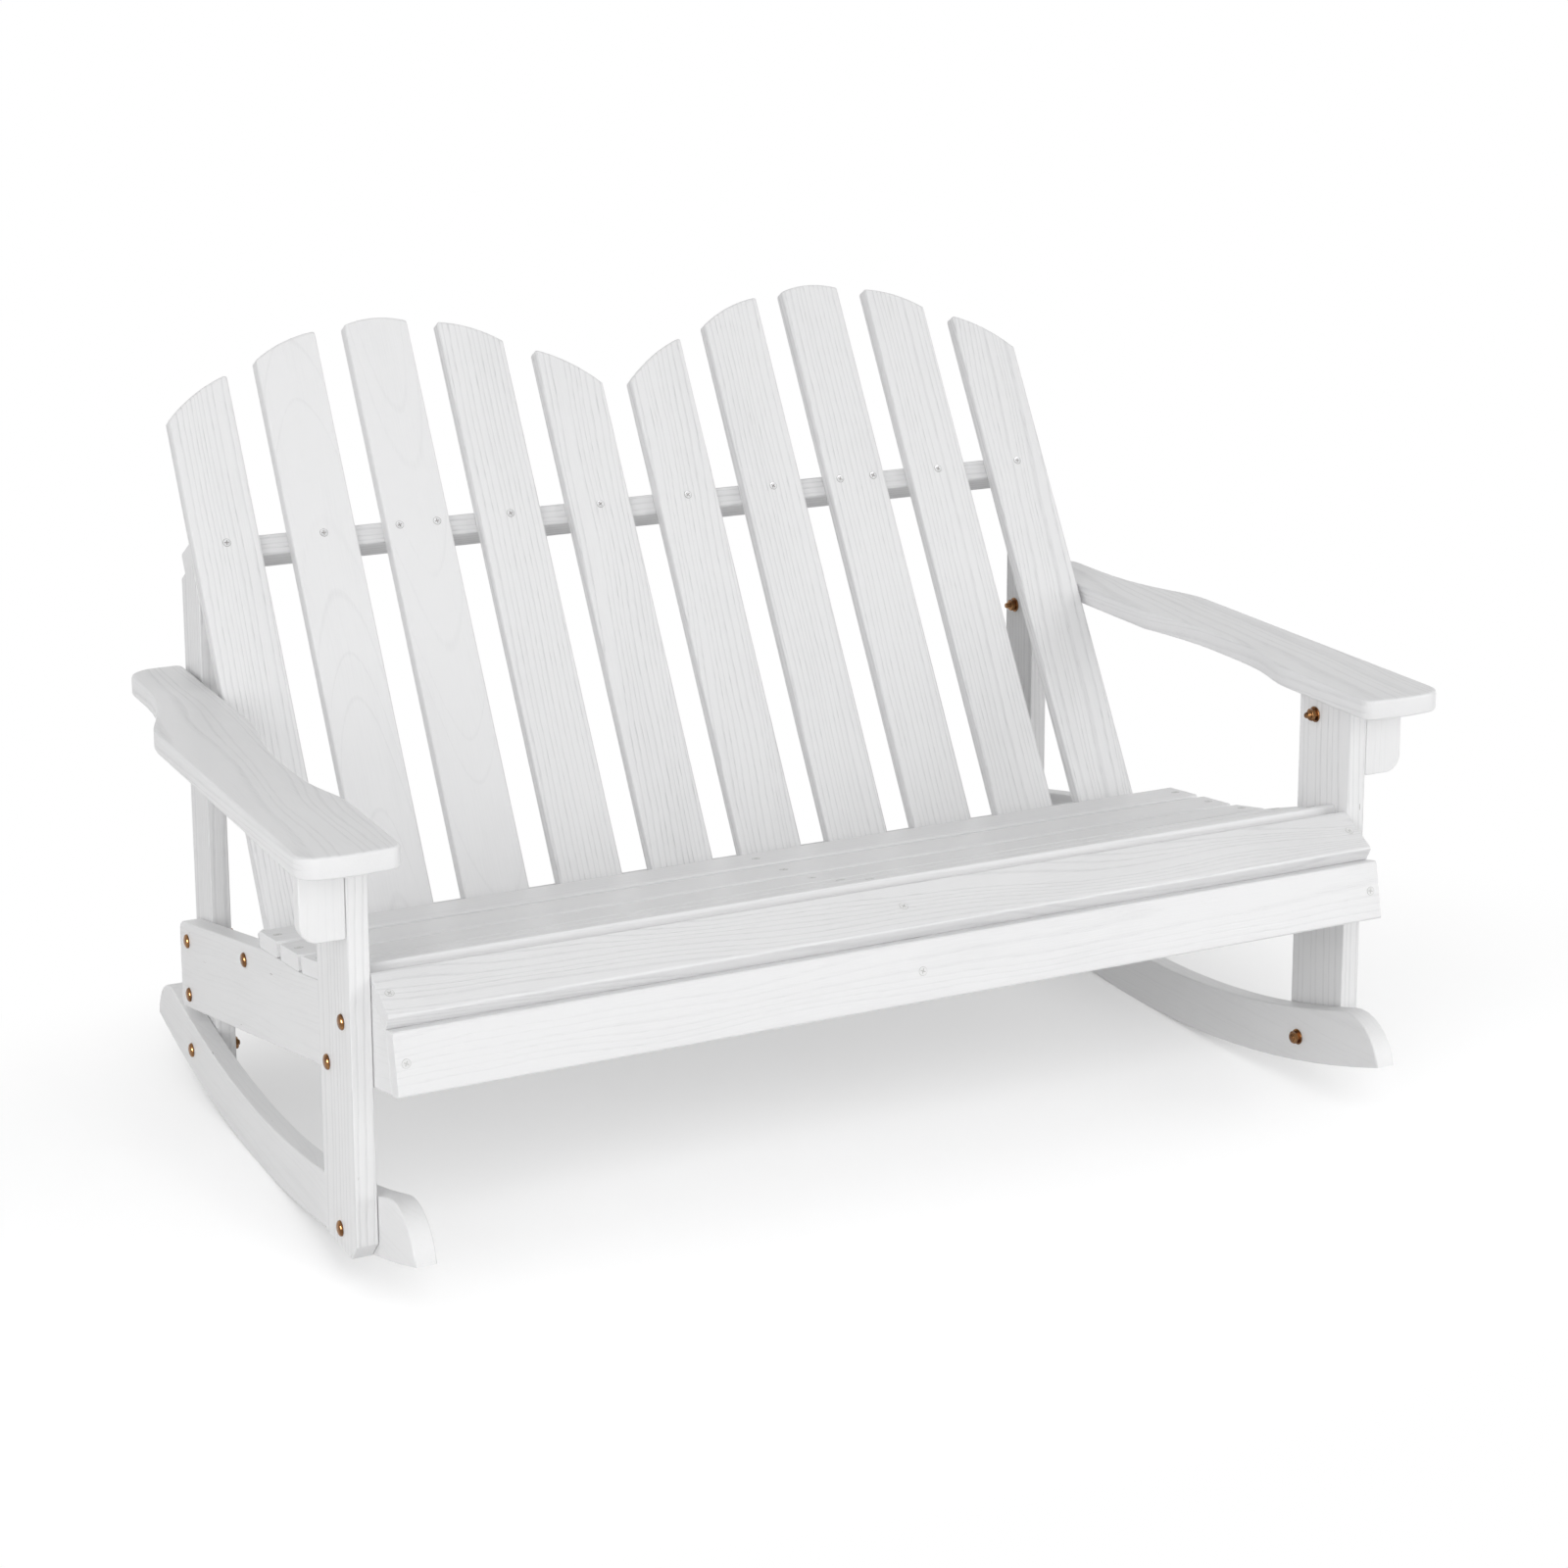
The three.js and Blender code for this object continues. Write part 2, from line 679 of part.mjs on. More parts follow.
// Cleats: short blocks that carry the arms, on the leg behind the bracket and on the post.
const cleatTop = armUnderside - touchGap;
const cleatFoot = cleatTop - cleatHeight;
const frontCleatY = bracketThickness + touchGap;
const rearCleatInnerX = postOuterX + touchGap;

function cleatShape(front, rear) {
  return roundedShape([
    corner(point(front, cleatFoot), edgeRound),
    corner(point(rear, cleatFoot), edgeRound),
    corner(point(rear, cleatTop)),
    corner(point(front, cleatTop)),
  ]);
}

function makeCleats() {
  placePair('front_arm_cleat', cleatShape(frontCleatY, frontCleatY + frontCleatLength),
    frameThickness, bracketInnerX);
  placePair('rear_arm_cleat', cleatShape(postFrontY, postRearY), frameThickness, rearCleatInnerX);
}

// Every bolt of one side, with the parts that it passes through and the faces that it clamps.
function clampBolt(name, parts, y, z, outerX, innerX, tail = boltTail) {
  const reach = outerX - innerX + 2 * boltSeatGap + washerThickness + nutThickness + tail;
  return { name, parts, y, z, outerX, innerX, reach, nutted: true };
}

function sideBolts() {
  const legRearY = legDepth - legBoltInset;
  const footY = legDepth / 2;
  const postY = postFrontY + postBoltInset;
  const cleatZ = cleatFoot + cleatHeight / 2;
  const seatTopZ = seatPeak.y - (legBoltInset - seatPeak.x) * Math.tan(frontFacet.slope);
  const frontCleatOuterX = bracketInnerX + frameThickness;
  const rearCleatOuterX = rearCleatInnerX + frameThickness;
  const railMiddle = backPoint(lowerRailRise + lowerRailWidth / 2, slatBack + lowerRailThickness / 2);
  const railReach = sideOuterX - sideInnerX + railBoltReach;
  return [
    clampBolt('leg_front', ['front_leg', 'seat_side'],
      legBoltInset, seatTopZ - legUpperBoltDrop, legOuterX, sideInnerX),
    clampBolt('leg_rear', ['front_leg', 'seat_side'],
      legRearY, sideBottomAt(legRearY) + legLowerBoltRise, legOuterX, sideInnerX),
    clampBolt('leg_foot', ['front_leg', 'rocker'],
      footY, rockerMiddleAt(footY) - rockerBoltDrop, legOuterX, sideInnerX),
    clampBolt('arm_front', ['front_arm_cleat', 'front_leg'],
      legDepth - cleatBoltInset, cleatZ, frontCleatOuterX, legInnerX, armBoltTail),
    clampBolt('arm_rear', ['rear_arm_cleat', 'rear_post'],
      postRearY - postCleatBoltInset, cleatZ, rearCleatOuterX, postInnerX, armBoltTail),
    clampBolt('post_upper', ['seat_side', 'rear_post'],
      postY, sideTopAt(postY) - postUpperBoltDrop, sideOuterX, postInnerX),
    clampBolt('post_lower', ['seat_side', 'rear_post'],
      postY, sideBottomAt(postY) + postLowerBoltRise, sideOuterX, postInnerX),
    clampBolt('post_foot', ['rocker', 'rear_post'],
      postY, rockerMiddleAt(postY) - rockerBoltDrop, sideOuterX, postInnerX),
    {
      ...clampBolt('back_rail', ['seat_side'], railMiddle.x, railMiddle.y, sideOuterX, sideInnerX),
      reach: railReach,
      nutted: false,
      rail: 'lower_back_rail',
    },
  ];
}

function makeBolts() {
  const bolts = sideBolts();
  for (const [name, side] of Object.entries(sides)) {
    for (const bolt of bolts) {
      const drilled = bolt.parts.map((part) => `${part}_${name}`);
      if (bolt.rail) drilled.push(bolt.rail);
      drilled.forEach((piece) => drill(pieces[piece], acrossBench(boltHole(bolt), bolt, side)));
      place(bench, `bolt_${bolt.name}_${name}`, acrossBench(boltSolid(bolt), bolt, side),
        yellowZinc, 0, 0, 0);
    }
  }
}

makeRockers();
makeLegs();
makePosts();
makeSeatSides();
makeSeatBearer();
makeSeatBoards();
makeFrontBoards();
makeSlats();
makeBackRails();
makeArms();
makeBrackets();
makeCleats();
makeBolts();

// The origin lies on the ground, under the middle of the bench's overall box.
bench.position.set(0, -(rockerFrontY + rockerRearY) / 2, 0);

const rockingBench = new THREE.Group();
rockingBench.add(bench);

export default rockingBench;
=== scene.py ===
"""Painted rocking bench: finishes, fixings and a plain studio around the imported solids.

Everything is in metres in the bench's own frame: X along the bench, Y from the front to the
back, Z up from the ground.
"""

import logging
import math
from dataclasses import dataclass, field, replace
from enum import Enum
from functools import partial
from itertools import chain
from typing import Callable, Iterable, Optional, Sequence, Union

import bmesh
import bpy
from bmesh.types import BMVert, BMesh
from bpy.types import ColorRamp, ID, Material, Node, NodeSocket, Object, World
from mathutils import Matrix, Vector

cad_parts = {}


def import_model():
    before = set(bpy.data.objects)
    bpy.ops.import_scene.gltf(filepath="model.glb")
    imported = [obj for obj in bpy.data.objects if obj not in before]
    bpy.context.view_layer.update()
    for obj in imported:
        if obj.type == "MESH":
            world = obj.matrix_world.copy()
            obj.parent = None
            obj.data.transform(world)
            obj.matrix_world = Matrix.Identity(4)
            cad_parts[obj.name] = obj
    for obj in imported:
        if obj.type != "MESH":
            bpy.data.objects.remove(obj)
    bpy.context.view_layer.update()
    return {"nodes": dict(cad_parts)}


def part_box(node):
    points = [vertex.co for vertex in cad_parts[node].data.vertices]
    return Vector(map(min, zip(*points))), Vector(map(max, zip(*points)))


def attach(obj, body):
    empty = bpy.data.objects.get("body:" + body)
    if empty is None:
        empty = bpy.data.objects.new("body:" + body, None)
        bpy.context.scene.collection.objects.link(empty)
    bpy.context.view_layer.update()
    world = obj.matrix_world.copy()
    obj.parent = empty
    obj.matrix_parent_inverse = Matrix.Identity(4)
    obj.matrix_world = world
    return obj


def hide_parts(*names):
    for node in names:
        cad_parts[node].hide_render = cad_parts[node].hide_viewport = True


log = logging.getLogger("rocking_bench")

MM = 0.001
RECLINE = math.radians(30.9)  # of the back from upright
SIDE_SLOPE = math.radians(11.9)  # of the seat sides from level
SIDES = {"left": -1.0, "right": 1.0}  # the side's sign along X
PIECE_CREASE = math.radians(38)  # a fixing's edges that turn by more stay sharp
MIX_FACTOR, MIX_LOW, MIX_HIGH, MIX_RESULT = 0, 6, 7, 2  # the Mix node's sockets for colours

ALONG_X = Vector((1, 0, 0))
ALONG_Y = Vector((0, 1, 0))
UPWARD = Vector((0, 0, 1))
UP_THE_BACK = Vector((0, math.sin(RECLINE), math.cos(RECLINE)))
BACK_FACE = Vector((0, -math.cos(RECLINE), math.sin(RECLINE)))
ALONG_SIDE = Vector((0, math.cos(SIDE_SLOPE), -math.sin(SIDE_SLOPE)))
APRON_FACE = Vector((0, -math.cos(SIDE_SLOPE), math.sin(SIDE_SLOPE)))

Number = Union["Value", float, int]
Colour = tuple[float, float, float, float]
Stops = Sequence[tuple[float, float]]
Nodes = dict[str, Object]
Profile = Union[float, Callable[[float], float]]


class Value:
    """A number that varies over a surface. Arithmetic on it adds Math nodes to its graph."""

    def __init__(self, graph: "Graph", socket: NodeSocket) -> None:
        """Wraps an output socket of a graph."""
        self.graph = graph
        self.socket = socket

    def _apply(self, operation: str, *numbers: Number) -> "Value":
        """Adds one Math node.

        Args:
            operation: the Math node's operation.
            numbers: its inputs in order, values or plain numbers.

        Returns:
            The node's result.
        """
        inputs = dict(enumerate(numbers))
        return self.graph.value("ShaderNodeMath", {"operation": operation}, inputs)

    def __add__(self, other: Number) -> "Value":
        """self + other"""
        return self._apply("ADD", self, other)

    def __radd__(self, other: Number) -> "Value":
        """other + self"""
        return self._apply("ADD", other, self)

    def __sub__(self, other: Number) -> "Value":
        """self - other"""
        return self._apply("SUBTRACT", self, other)

    def __rsub__(self, other: Number) -> "Value":
        """other - self"""
        return self._apply("SUBTRACT", other, self)

    def __mul__(self, other: Number) -> "Value":
        """self * other"""
        return self._apply("MULTIPLY", self, other)

    def __rmul__(self, other: Number) -> "Value":
        """other * self"""
        return self._apply("MULTIPLY", other, self)

    def __truediv__(self, other: Number) -> "Value":
        """self / other"""
        return self._apply("DIVIDE", self, other)

    def __rtruediv__(self, other: Number) -> "Value":
        """other / self"""
        return self._apply("DIVIDE", other, self)

    def root(self) -> "Value":
        """Square root."""
        return self._apply("SQRT", self)

    def fraction(self) -> "Value":
        """What is left above the whole number."""
        return self._apply("FRACT", self)

    def largest(self, other: Number) -> "Value":
        """The larger of the two."""
        return self._apply("MAXIMUM", self, other)


Input = Union[Value, NodeSocket, float, int, Sequence[float]]


class Easing(Enum):
    """How a ramp runs from stop to stop."""

    EVEN = "LINEAR"
    SMOOTH = "EASE"


class Graph:
    """The node tree of a material or of the world."""

    def __init__(self, owner: Union[Material, World]) -> None:
        """Empties a node tree and takes it over.

        Args:
            owner: the material or world that it belongs to.
        """
        owner.use_nodes = True
        self.tree = owner.node_tree
        self.tree.nodes.clear()

    def node(self, kind: str, settings: Optional[dict] = None,
             inputs: Optional[dict] = None) -> Node:
        """Adds a node, sets it up and joins it.

        Args:
            kind: the node's type.
            settings: properties by name. A ramp's stops are (position, grey) pairs, and its
                easing is an Easing.
            inputs: values, sockets or plain numbers by socket name or index.

        Returns:
            The node.
        """
        node = self.tree.nodes.new(kind)
        for name, setting in (settings or {}).items():
            if name == "stops":
                self._set_stops(node.color_ramp, setting)
            elif name == "easing":
                node.color_ramp.interpolation = setting.value
            else:
                setattr(node, name, setting)
        for key, given in (inputs or {}).items():
            source = given.socket if isinstance(given, Value) else given
            if isinstance(source, NodeSocket):
                self.tree.links.new(source, node.inputs[key])
            else:
                node.inputs[key].default_value = source
        return node

    @staticmethod
    def _set_stops(ramp: ColorRamp, stops: Stops) -> None:
        """Sets a ramp's stops.

        Args:
            ramp: the ramp.
            stops: (position, grey) pairs.
        """
        while len(ramp.elements) < len(stops):
            ramp.elements.new(1.0)
        for element, (position, grey) in zip(ramp.elements, stops):
            element.position = position
            element.color = colour(grey, grey, grey)

    def value(self, kind: str, settings: Optional[dict] = None, inputs: Optional[dict] = None,
              output: Union[int, str] = 0) -> Value:
        """Adds a node and wraps one of its outputs.

        Args:
            kind: the node's type.
            settings: as for node().
            inputs: as for node().
            output: the output's name or index.

        Returns:
            The output as a value.
        """
        return Value(self, self.node(kind, settings, inputs).outputs[output])

    def noise(self, at: Input, scale: float, detail: float) -> Value:
        """Plain noise.

        Args:
            at: where it is read.
            scale: its cycles over a unit of length.
            detail: its finer octaves.

        Returns:
            The noise from 0 to 1, with 0.5 as its mean.
        """
        return self.value("ShaderNodeTexNoise", {"noise_dimensions": "3D"}, {
            "Vector": at, "Scale": scale, "Detail": detail,
        }, "Fac")

    def ramp(self, factor: Number, stops: Stops, easing: Easing = Easing.EVEN) -> Value:
        """Reads a number off a ramp.

        Args:
            factor: where to read, from 0 to 1.
            stops: (position, grey) pairs.
            easing: how it runs from stop to stop.

        Returns:
            The grey as a value.
        """
        settings = {"stops": stops, "easing": easing}
        return self.value("ShaderNodeValToRGB", settings, {"Fac": factor}, "Color")

    def blend(self, factor: Number, low: Input, high: Input) -> NodeSocket:
        """Mixes two colours.

        Args:
            factor: 0 for the low colour, 1 for the high one.
            low: a colour.
            high: a colour.

        Returns:
            The mixed colour's socket.
        """
        mix = self.node("ShaderNodeMix", {"data_type": "RGBA", "blend_type": "MIX"}, {
            MIX_FACTOR: factor, MIX_LOW: low, MIX_HIGH: high,
        })
        return mix.outputs[MIX_RESULT]


def colour(red: float, green: float, blue: float) -> Colour:
    """An opaque colour, in linear light."""
    return (red, green, blue, 1.0)


def leaning(slope: float) -> Vector:
    """The upward normal of a board that falls backwards by a slope in degrees."""
    fall = math.radians(slope)
    return Vector((0, math.sin(fall), math.cos(fall)))


def step(start: float, end: float) -> Stops:
    """Stops of a ramp that stays 0 up to start and is 1 from end on."""
    return ((0.0, 0.0), (start, 0.0), (end, 1.0), (1.0, 1.0))


@dataclass(frozen=True)
class Grain:
    """How the growth rings run through a board and show on it, in millimetres."""

    pith_across: float  # from the board's middle, across its width
    pith_depth: float  # out of its face
    tilt: float  # of the pith towards the face, per length of board
    drift: float  # of the pith sideways
    spacing: float  # of the rings
    wander: float  # from true circles
    lines: float  # how strongly the rings show
    pores: float  # how strongly the dashes along them show
    late_share: float = 0.42  # the part of a year that is hard late wood

    def year(self) -> Stops:
        """A year's hardness, from its early to its late wood.

        Returns:
            A ramp's stops, 1 where the wood is hardest.
        """
        late = self.late_share
        hardest, softening = 1 - 0.38 * late, 1 - 0.19 * late
        return ((0.0, 0.0), (1 - late, 0.06), (hardest, 1.0), (softening, 0.7), (1.0, 0.0))


class Cut(Enum):
    """Ways in which a board was sawn from the log."""

    WIDE_LINED = Grain(150.0, 190.0, 0.012, 0.006, 6.4, 6.0, 1.15, 0.6)
    STRAIGHT = Grain(240.0, 210.0, 0.010, 0.004, 4.6, 5.0, 1.1, 0.8)
    SLANTED = Grain(170.0, 130.0, 0.020, 0.030, 5.0, 8.0, 1.1, 0.9)
    ARCHED = Grain(2.0, 70.0, -0.105, 0.006, 13.0, 9.0, 0.55, 0.1, 0.14)
    ARCHED_DOWN = Grain(-6.0, 75.0, 0.090, -0.010, 14.0, 9.0, 0.4, 0.1, 0.14)
    FLOWING = Grain(36.0, 30.0, 0.030, 0.030, 4.8, 16.0, 0.85, 0.5)
    BROAD = Grain(26.0, 34.0, -0.020, 0.014, 6.8, 14.0, 0.45, 0.35)
    WAVY = Grain(44.0, 60.0, 0.030, 0.020, 6.6, 16.0, 0.8, 0.5)
    PLAIN = Grain(60.0, 50.0, 0.012, 0.008, 7.0, 12.0, 0.3, 0.2)


@dataclass(frozen=True)
class Board:
    """A painted board: its CAD node, the way its grain runs and the face that shows most."""

    node: str
    grain: Vector
    face: Vector
    cut: Cut
    seed: float

    def axes(self) -> Matrix:
        """Columns along the grain, across the board and out of its face."""
        across = self.face.cross(self.grain).normalized()
        return Matrix((self.grain, across, self.face)).transposed()

    def extent(self) -> tuple[Vector, Vector]:
        """How far the node reaches in the board's own axes.

        Returns:
            Its lowest and its highest corner.
        """
        turn = self.axes().transposed()
        corners = [turn @ v.co for v in bpy.data.objects[self.node].data.vertices]
        lows = Vector(min(c[i] for c in corners) for i in range(3))
        highs = Vector(max(c[i] for c in corners) for i in range(3))
        return lows, highs

    def centre(self) -> Vector:
        """Middle of the board in the bench's frame."""
        low, high = self.extent()
        return self.axes() @ ((low + high) / 2)

    def on_face(self, along: float, across: float) -> Matrix:
        """Places something on the face.

        Args:
            along: distance from the grain's low end.
            across: distance from the middle of the width.

        Returns:
            A matrix whose Z axis points out of the face.
        """
        low, high = self.extent()
        spot = Vector((low.x + along, (low.y + high.y) / 2 + across, high.z))
        return Matrix.Translation(self.axes() @ spot) @ self.axes().to_4x4()


@dataclass(frozen=True)
class Fleck:
    """Noise stretched along a board's grain."""

    along: float  # cycles per millimetre
    across: float
    detail: float  # finer octaves
    offset: float  # added to the board's seed, so that its noises differ
    shift: tuple[float, float, float] = (7.3, 3.1, 1.7)  # per unit of seed

    def on(self, graph: Graph, at: NodeSocket, board: Board) -> Value:
        """Reads the noise.

        Args:
            graph: the material's graph.
            at: position in the board's axes, in millimetres.
            board: the board, for its seed.

        Returns:
            The noise from 0 to 1, with 0.5 as its mean.
        """
        seed = board.seed + self.offset
        moved = graph.node("ShaderNodeMapping", {"vector_type": "POINT"}, {
            "Vector": at,
            "Location": [shift * seed for shift in self.shift],
            "Scale": (self.along, self.across, self.across),
        })
        return graph.noise(moved.outputs[0], 1.0, self.detail)


class Flecks(Enum):
    """The noises that a painted board is made of."""

    WANDER = Fleck(0.004, 0.016, 1.0, 0.0)
    TREMBLE = Fleck(0.03, 0.05, 1.0, 5.0)
    STREAKS = Fleck(0.05, 1.5, 2.0, 0.0)
    FIBRE = Fleck(0.03, 0.8, 3.0, 2.0)
    MOTTLE = Fleck(0.006, 0.02, 2.0, 3.0)
    CHIPS = Fleck(0.05, 0.45, 1.0, 4.0)


@dataclass(frozen=True)
class Marks:
    """How much each mark of the wood changes one property of the paint."""

    rings: float
    dashes: float
    fibre: float
    mottle: float

    def total(self, rings: Value, dashes: Value, fibre: Value, mottle: Value) -> Value:
        """The change: noises count from their mean of 0.5, so that they go both ways."""
        hard = rings * self.rings + dashes * self.dashes
        return hard + (fibre - 0.5) * self.fibre + (mottle - 0.5) * self.mottle


@dataclass(frozen=True)
class PaintedWood:
    """Off-white paint over softwood, thin enough for the grain to show in relief."""

    name: str
    base: Colour  # over soft wood
    shade: Colour  # over hard wood
    roughness: float
    contrast: float
    relief: float
    nicks: float  # how far it is worn through in small chips
    bare_wood: Colour = colour(0.16, 0.12, 0.085)
    darkness: Marks = Marks(0.34, 0.66, 0.35, 0.5)
    dullness: Marks = Marks(0.05, 0.12, 0.10, 0.06)
    hollows: Marks = Marks(0.42, 0.58, -0.5, 0.0)
    tremble: float = 1.1  # how unsteady each ring is, in mm
    uneven_over: float = 0.045  # how fast a year's width changes, in cycles per mm
    uneven_years: float = 5.0
    pore_edges: tuple[float, float] = (0.55, 0.68)  # of the noises, as are the chip edges
    chip_edges: tuple[float, float] = (0.79, 0.83)
    end_edges: tuple[float, float] = (0.10, 0.55)  # of the squared cosine to the grain
    late_pores: float = 0.8  # share of the pores that keep to the late wood
    relief_strength: float = 0.8

    def _rings(self, graph: Graph, at: NodeSocket, board: Board) -> Value:
        """Growth rings.

        Args:
            graph: the material's graph.
            at: position in the board's axes, in millimetres.
            board: the board, for its cut and seed.

        Returns:
            0 in the soft early wood, 1 in the hard late wood.
        """
        grain = board.cut.value
        parts = graph.node("ShaderNodeSeparateXYZ", {}, {0: at})
        along, across, depth = (Value(graph, parts.outputs[i]) for i in range(3))
        wander = (Flecks.WANDER.value.on(graph, at, board) - 0.5) * (2 * grain.wander)
        tremble = (Flecks.TREMBLE.value.on(graph, at, board) - 0.5) * self.tremble
        side = across + along * grain.drift + wander + tremble - grain.pith_across
        below = depth + along * grain.tilt - grain.pith_depth
        radius = (side * side + below * below).root()
        years = graph.node("ShaderNodeCombineXYZ", {}, {
            0: radius * self.uneven_over, 1: board.seed, 2: 0.5,
        })
        unevenness = graph.noise(years.outputs[0], 1.0, 1.0)
        phase = radius / grain.spacing + unevenness * self.uneven_years
        return graph.ramp(phase.fraction(), grain.year(), Easing.SMOOTH)

    def _sides(self, graph: Graph, surface: NodeSocket, board: Board) -> Value:
        """Tells the board's sides from its sawn ends, where the paint hides the grain.

        Args:
            graph: the material's graph.
            surface: the surface's normal.
            board: the board, for the way that its grain runs.

        Returns:
            1 on its faces and edges, 0 on its sawn ends.
        """
        facing = graph.value("ShaderNodeVectorMath", {"operation": "DOT_PRODUCT"}, {
            0: surface, 1: board.grain,
        }, "Value")
        return graph.value("ShaderNodeMapRange", {"interpolation_type": "SMOOTHSTEP"}, {
            "Value": facing * facing,
            "From Min": self.end_edges[0],
            "From Max": self.end_edges[1],
            "To Min": 1.0,
            "To Max": 0.0,
        })

    def material(self, board: Board) -> Material:
        """Paints one board.

        Args:
            board: the board, whose axes and cut steer the grain.

        Returns:
            Its own material.
        """
        made = bpy.data.materials.new(f"{self.name}_{board.node}")
        graph = Graph(made)
        on_board = graph.node("ShaderNodeTexCoord")
        local = graph.node("ShaderNodeMapping", {"vector_type": "TEXTURE"}, {
            "Vector": on_board.outputs["Object"],
            "Location": board.centre(),
            "Rotation": board.axes().to_euler(),
            "Scale": (MM, MM, MM),
        }).outputs[0]
        sides = self._sides(graph, on_board.outputs["Normal"], board)
        late = self._rings(graph, local, board) * sides
        rings = late * board.cut.value.lines
        streaks, fibre, mottle, chips = (
            fleck.value.on(graph, local, board)
            for fleck in (Flecks.STREAKS, Flecks.FIBRE, Flecks.MOTTLE, Flecks.CHIPS))
        pores = graph.ramp(streaks, step(*self.pore_edges))
        spread = (1 - self.late_pores) * sides + self.late_pores * late
        dashes = pores * spread * board.cut.value.pores
        nicks = graph.ramp(chips, step(*self.chip_edges)) * self.nicks

        marks = (rings, dashes, fibre, mottle)
        darkness = self.darkness.total(*marks) * self.contrast
        painted = graph.blend(darkness.largest(0.0), self.base, self.shade)
        bump = graph.node("ShaderNodeBump", {}, {
            "Strength": self.relief_strength,
            "Distance": self.relief,
            "Height": 1.0 - self.hollows.total(*marks) - nicks,
        })
        skin = graph.node("ShaderNodeBsdfPrincipled", {}, {
            "Base Color": graph.blend(nicks, painted, self.bare_wood),
            "Roughness": self.roughness + self.dullness.total(*marks),
            "Normal": bump.outputs[0],
        })
        graph.node("ShaderNodeOutputMaterial", {}, {"Surface": skin.outputs[0]})
        return made


@dataclass(frozen=True)
class Plating:
    """Thin zinc plating on steel, slightly cloudy, or the paint over it where it isn't metallic.
    Darker copies are painted shade for the screws' cross recesses and the gaps round their heads.
    """

    name: str
    bright: Colour
    deep: Colour
    roughness: float
    cloud_size: float
    metallic: float = 1.0
    specks_per_cloud: float = 6.0
    speck_dullness: float = 0.18
    cloud_dullness: float = 0.10
    cloud_edges: tuple[float, float] = (0.36, 0.64)
    relief: float = 0.05 * MM
    relief_strength: float = 0.25

    def material(self) -> Material:
        """Makes the finish.

        Returns:
            The material.
        """
        made = bpy.data.materials.new(self.name)
        graph = Graph(made)
        place = graph.node("ShaderNodeTexCoord").outputs["Object"]
        clouds = graph.noise(place, 1 / self.cloud_size, 3.0)
        specks = graph.noise(place, self.specks_per_cloud / self.cloud_size, 2.0)
        dullness = (specks - 0.5) * self.speck_dullness + (clouds - 0.5) * self.cloud_dullness
        tint = graph.ramp(clouds, step(*self.cloud_edges), Easing.SMOOTH)
        bump = graph.node("ShaderNodeBump", {}, {
            "Strength": self.relief_strength, "Distance": self.relief, "Height": specks,
        })
        skin = graph.node("ShaderNodeBsdfPrincipled", {}, {
            "Base Color": graph.blend(tint, self.deep, self.bright),
            "Metallic": self.metallic,
            "Roughness": self.roughness + dullness,
            "Normal": bump.outputs[0],
        })
        graph.node("ShaderNodeOutputMaterial", {}, {"Surface": skin.outputs[0]})
        return made


TOP_PAINT = PaintedWood(
    "white_paint", colour(0.785, 0.785, 0.79), colour(0.57, 0.57, 0.58),
    roughness=0.36, contrast=0.85, relief=0.40 * MM, nicks=0.0)
SIDE_PAINT = PaintedWood(
    "side_paint", colour(0.81, 0.81, 0.813), colour(0.59, 0.59, 0.598),
    roughness=0.42, contrast=0.75, relief=0.40 * MM, nicks=0.5)
SEAT_PAINT = replace(
    TOP_PAINT, base=colour(0.81, 0.81, 0.815), roughness=0.38, contrast=0.35, relief=0.12 * MM)
YELLOW_ZINC = Plating(
    "yellow_zinc", colour(0.30, 0.155, 0.065), colour(0.15, 0.07, 0.03),
    roughness=0.14, cloud_size=9 * MM)
BRIGHT_ZINC = Plating(
    "bright_zinc", colour(0.73, 0.73, 0.74), colour(0.60, 0.60, 0.61),
    roughness=0.34, cloud_size=6 * MM)
# painted shade: a dark metal standing for the shade in the screws' cross recesses and in the gaps
# round their heads
SCREW_PAINTED_SHADE = Plating(
    "screw_painted_shade", colour(0.36, 0.35, 0.34), colour(0.24, 0.23, 0.22),
    roughness=0.55, cloud_size=4 * MM)
PAINTED_ZINC = Plating(
    "painted_zinc", colour(0.77, 0.77, 0.77), colour(0.71, 0.71, 0.71),
    roughness=0.5, cloud_size=6 * MM, metallic=0.0)
# painted shade: a grey paint standing for the shade left in the painted-over screws' recesses and
# round their heads
FILLED_SCREW_PAINTED_SHADE = Plating(
    "filled_screw_painted_shade", colour(0.56, 0.56, 0.55), colour(0.47, 0.47, 0.46),
    roughness=0.6, cloud_size=4 * MM, metallic=0.0)


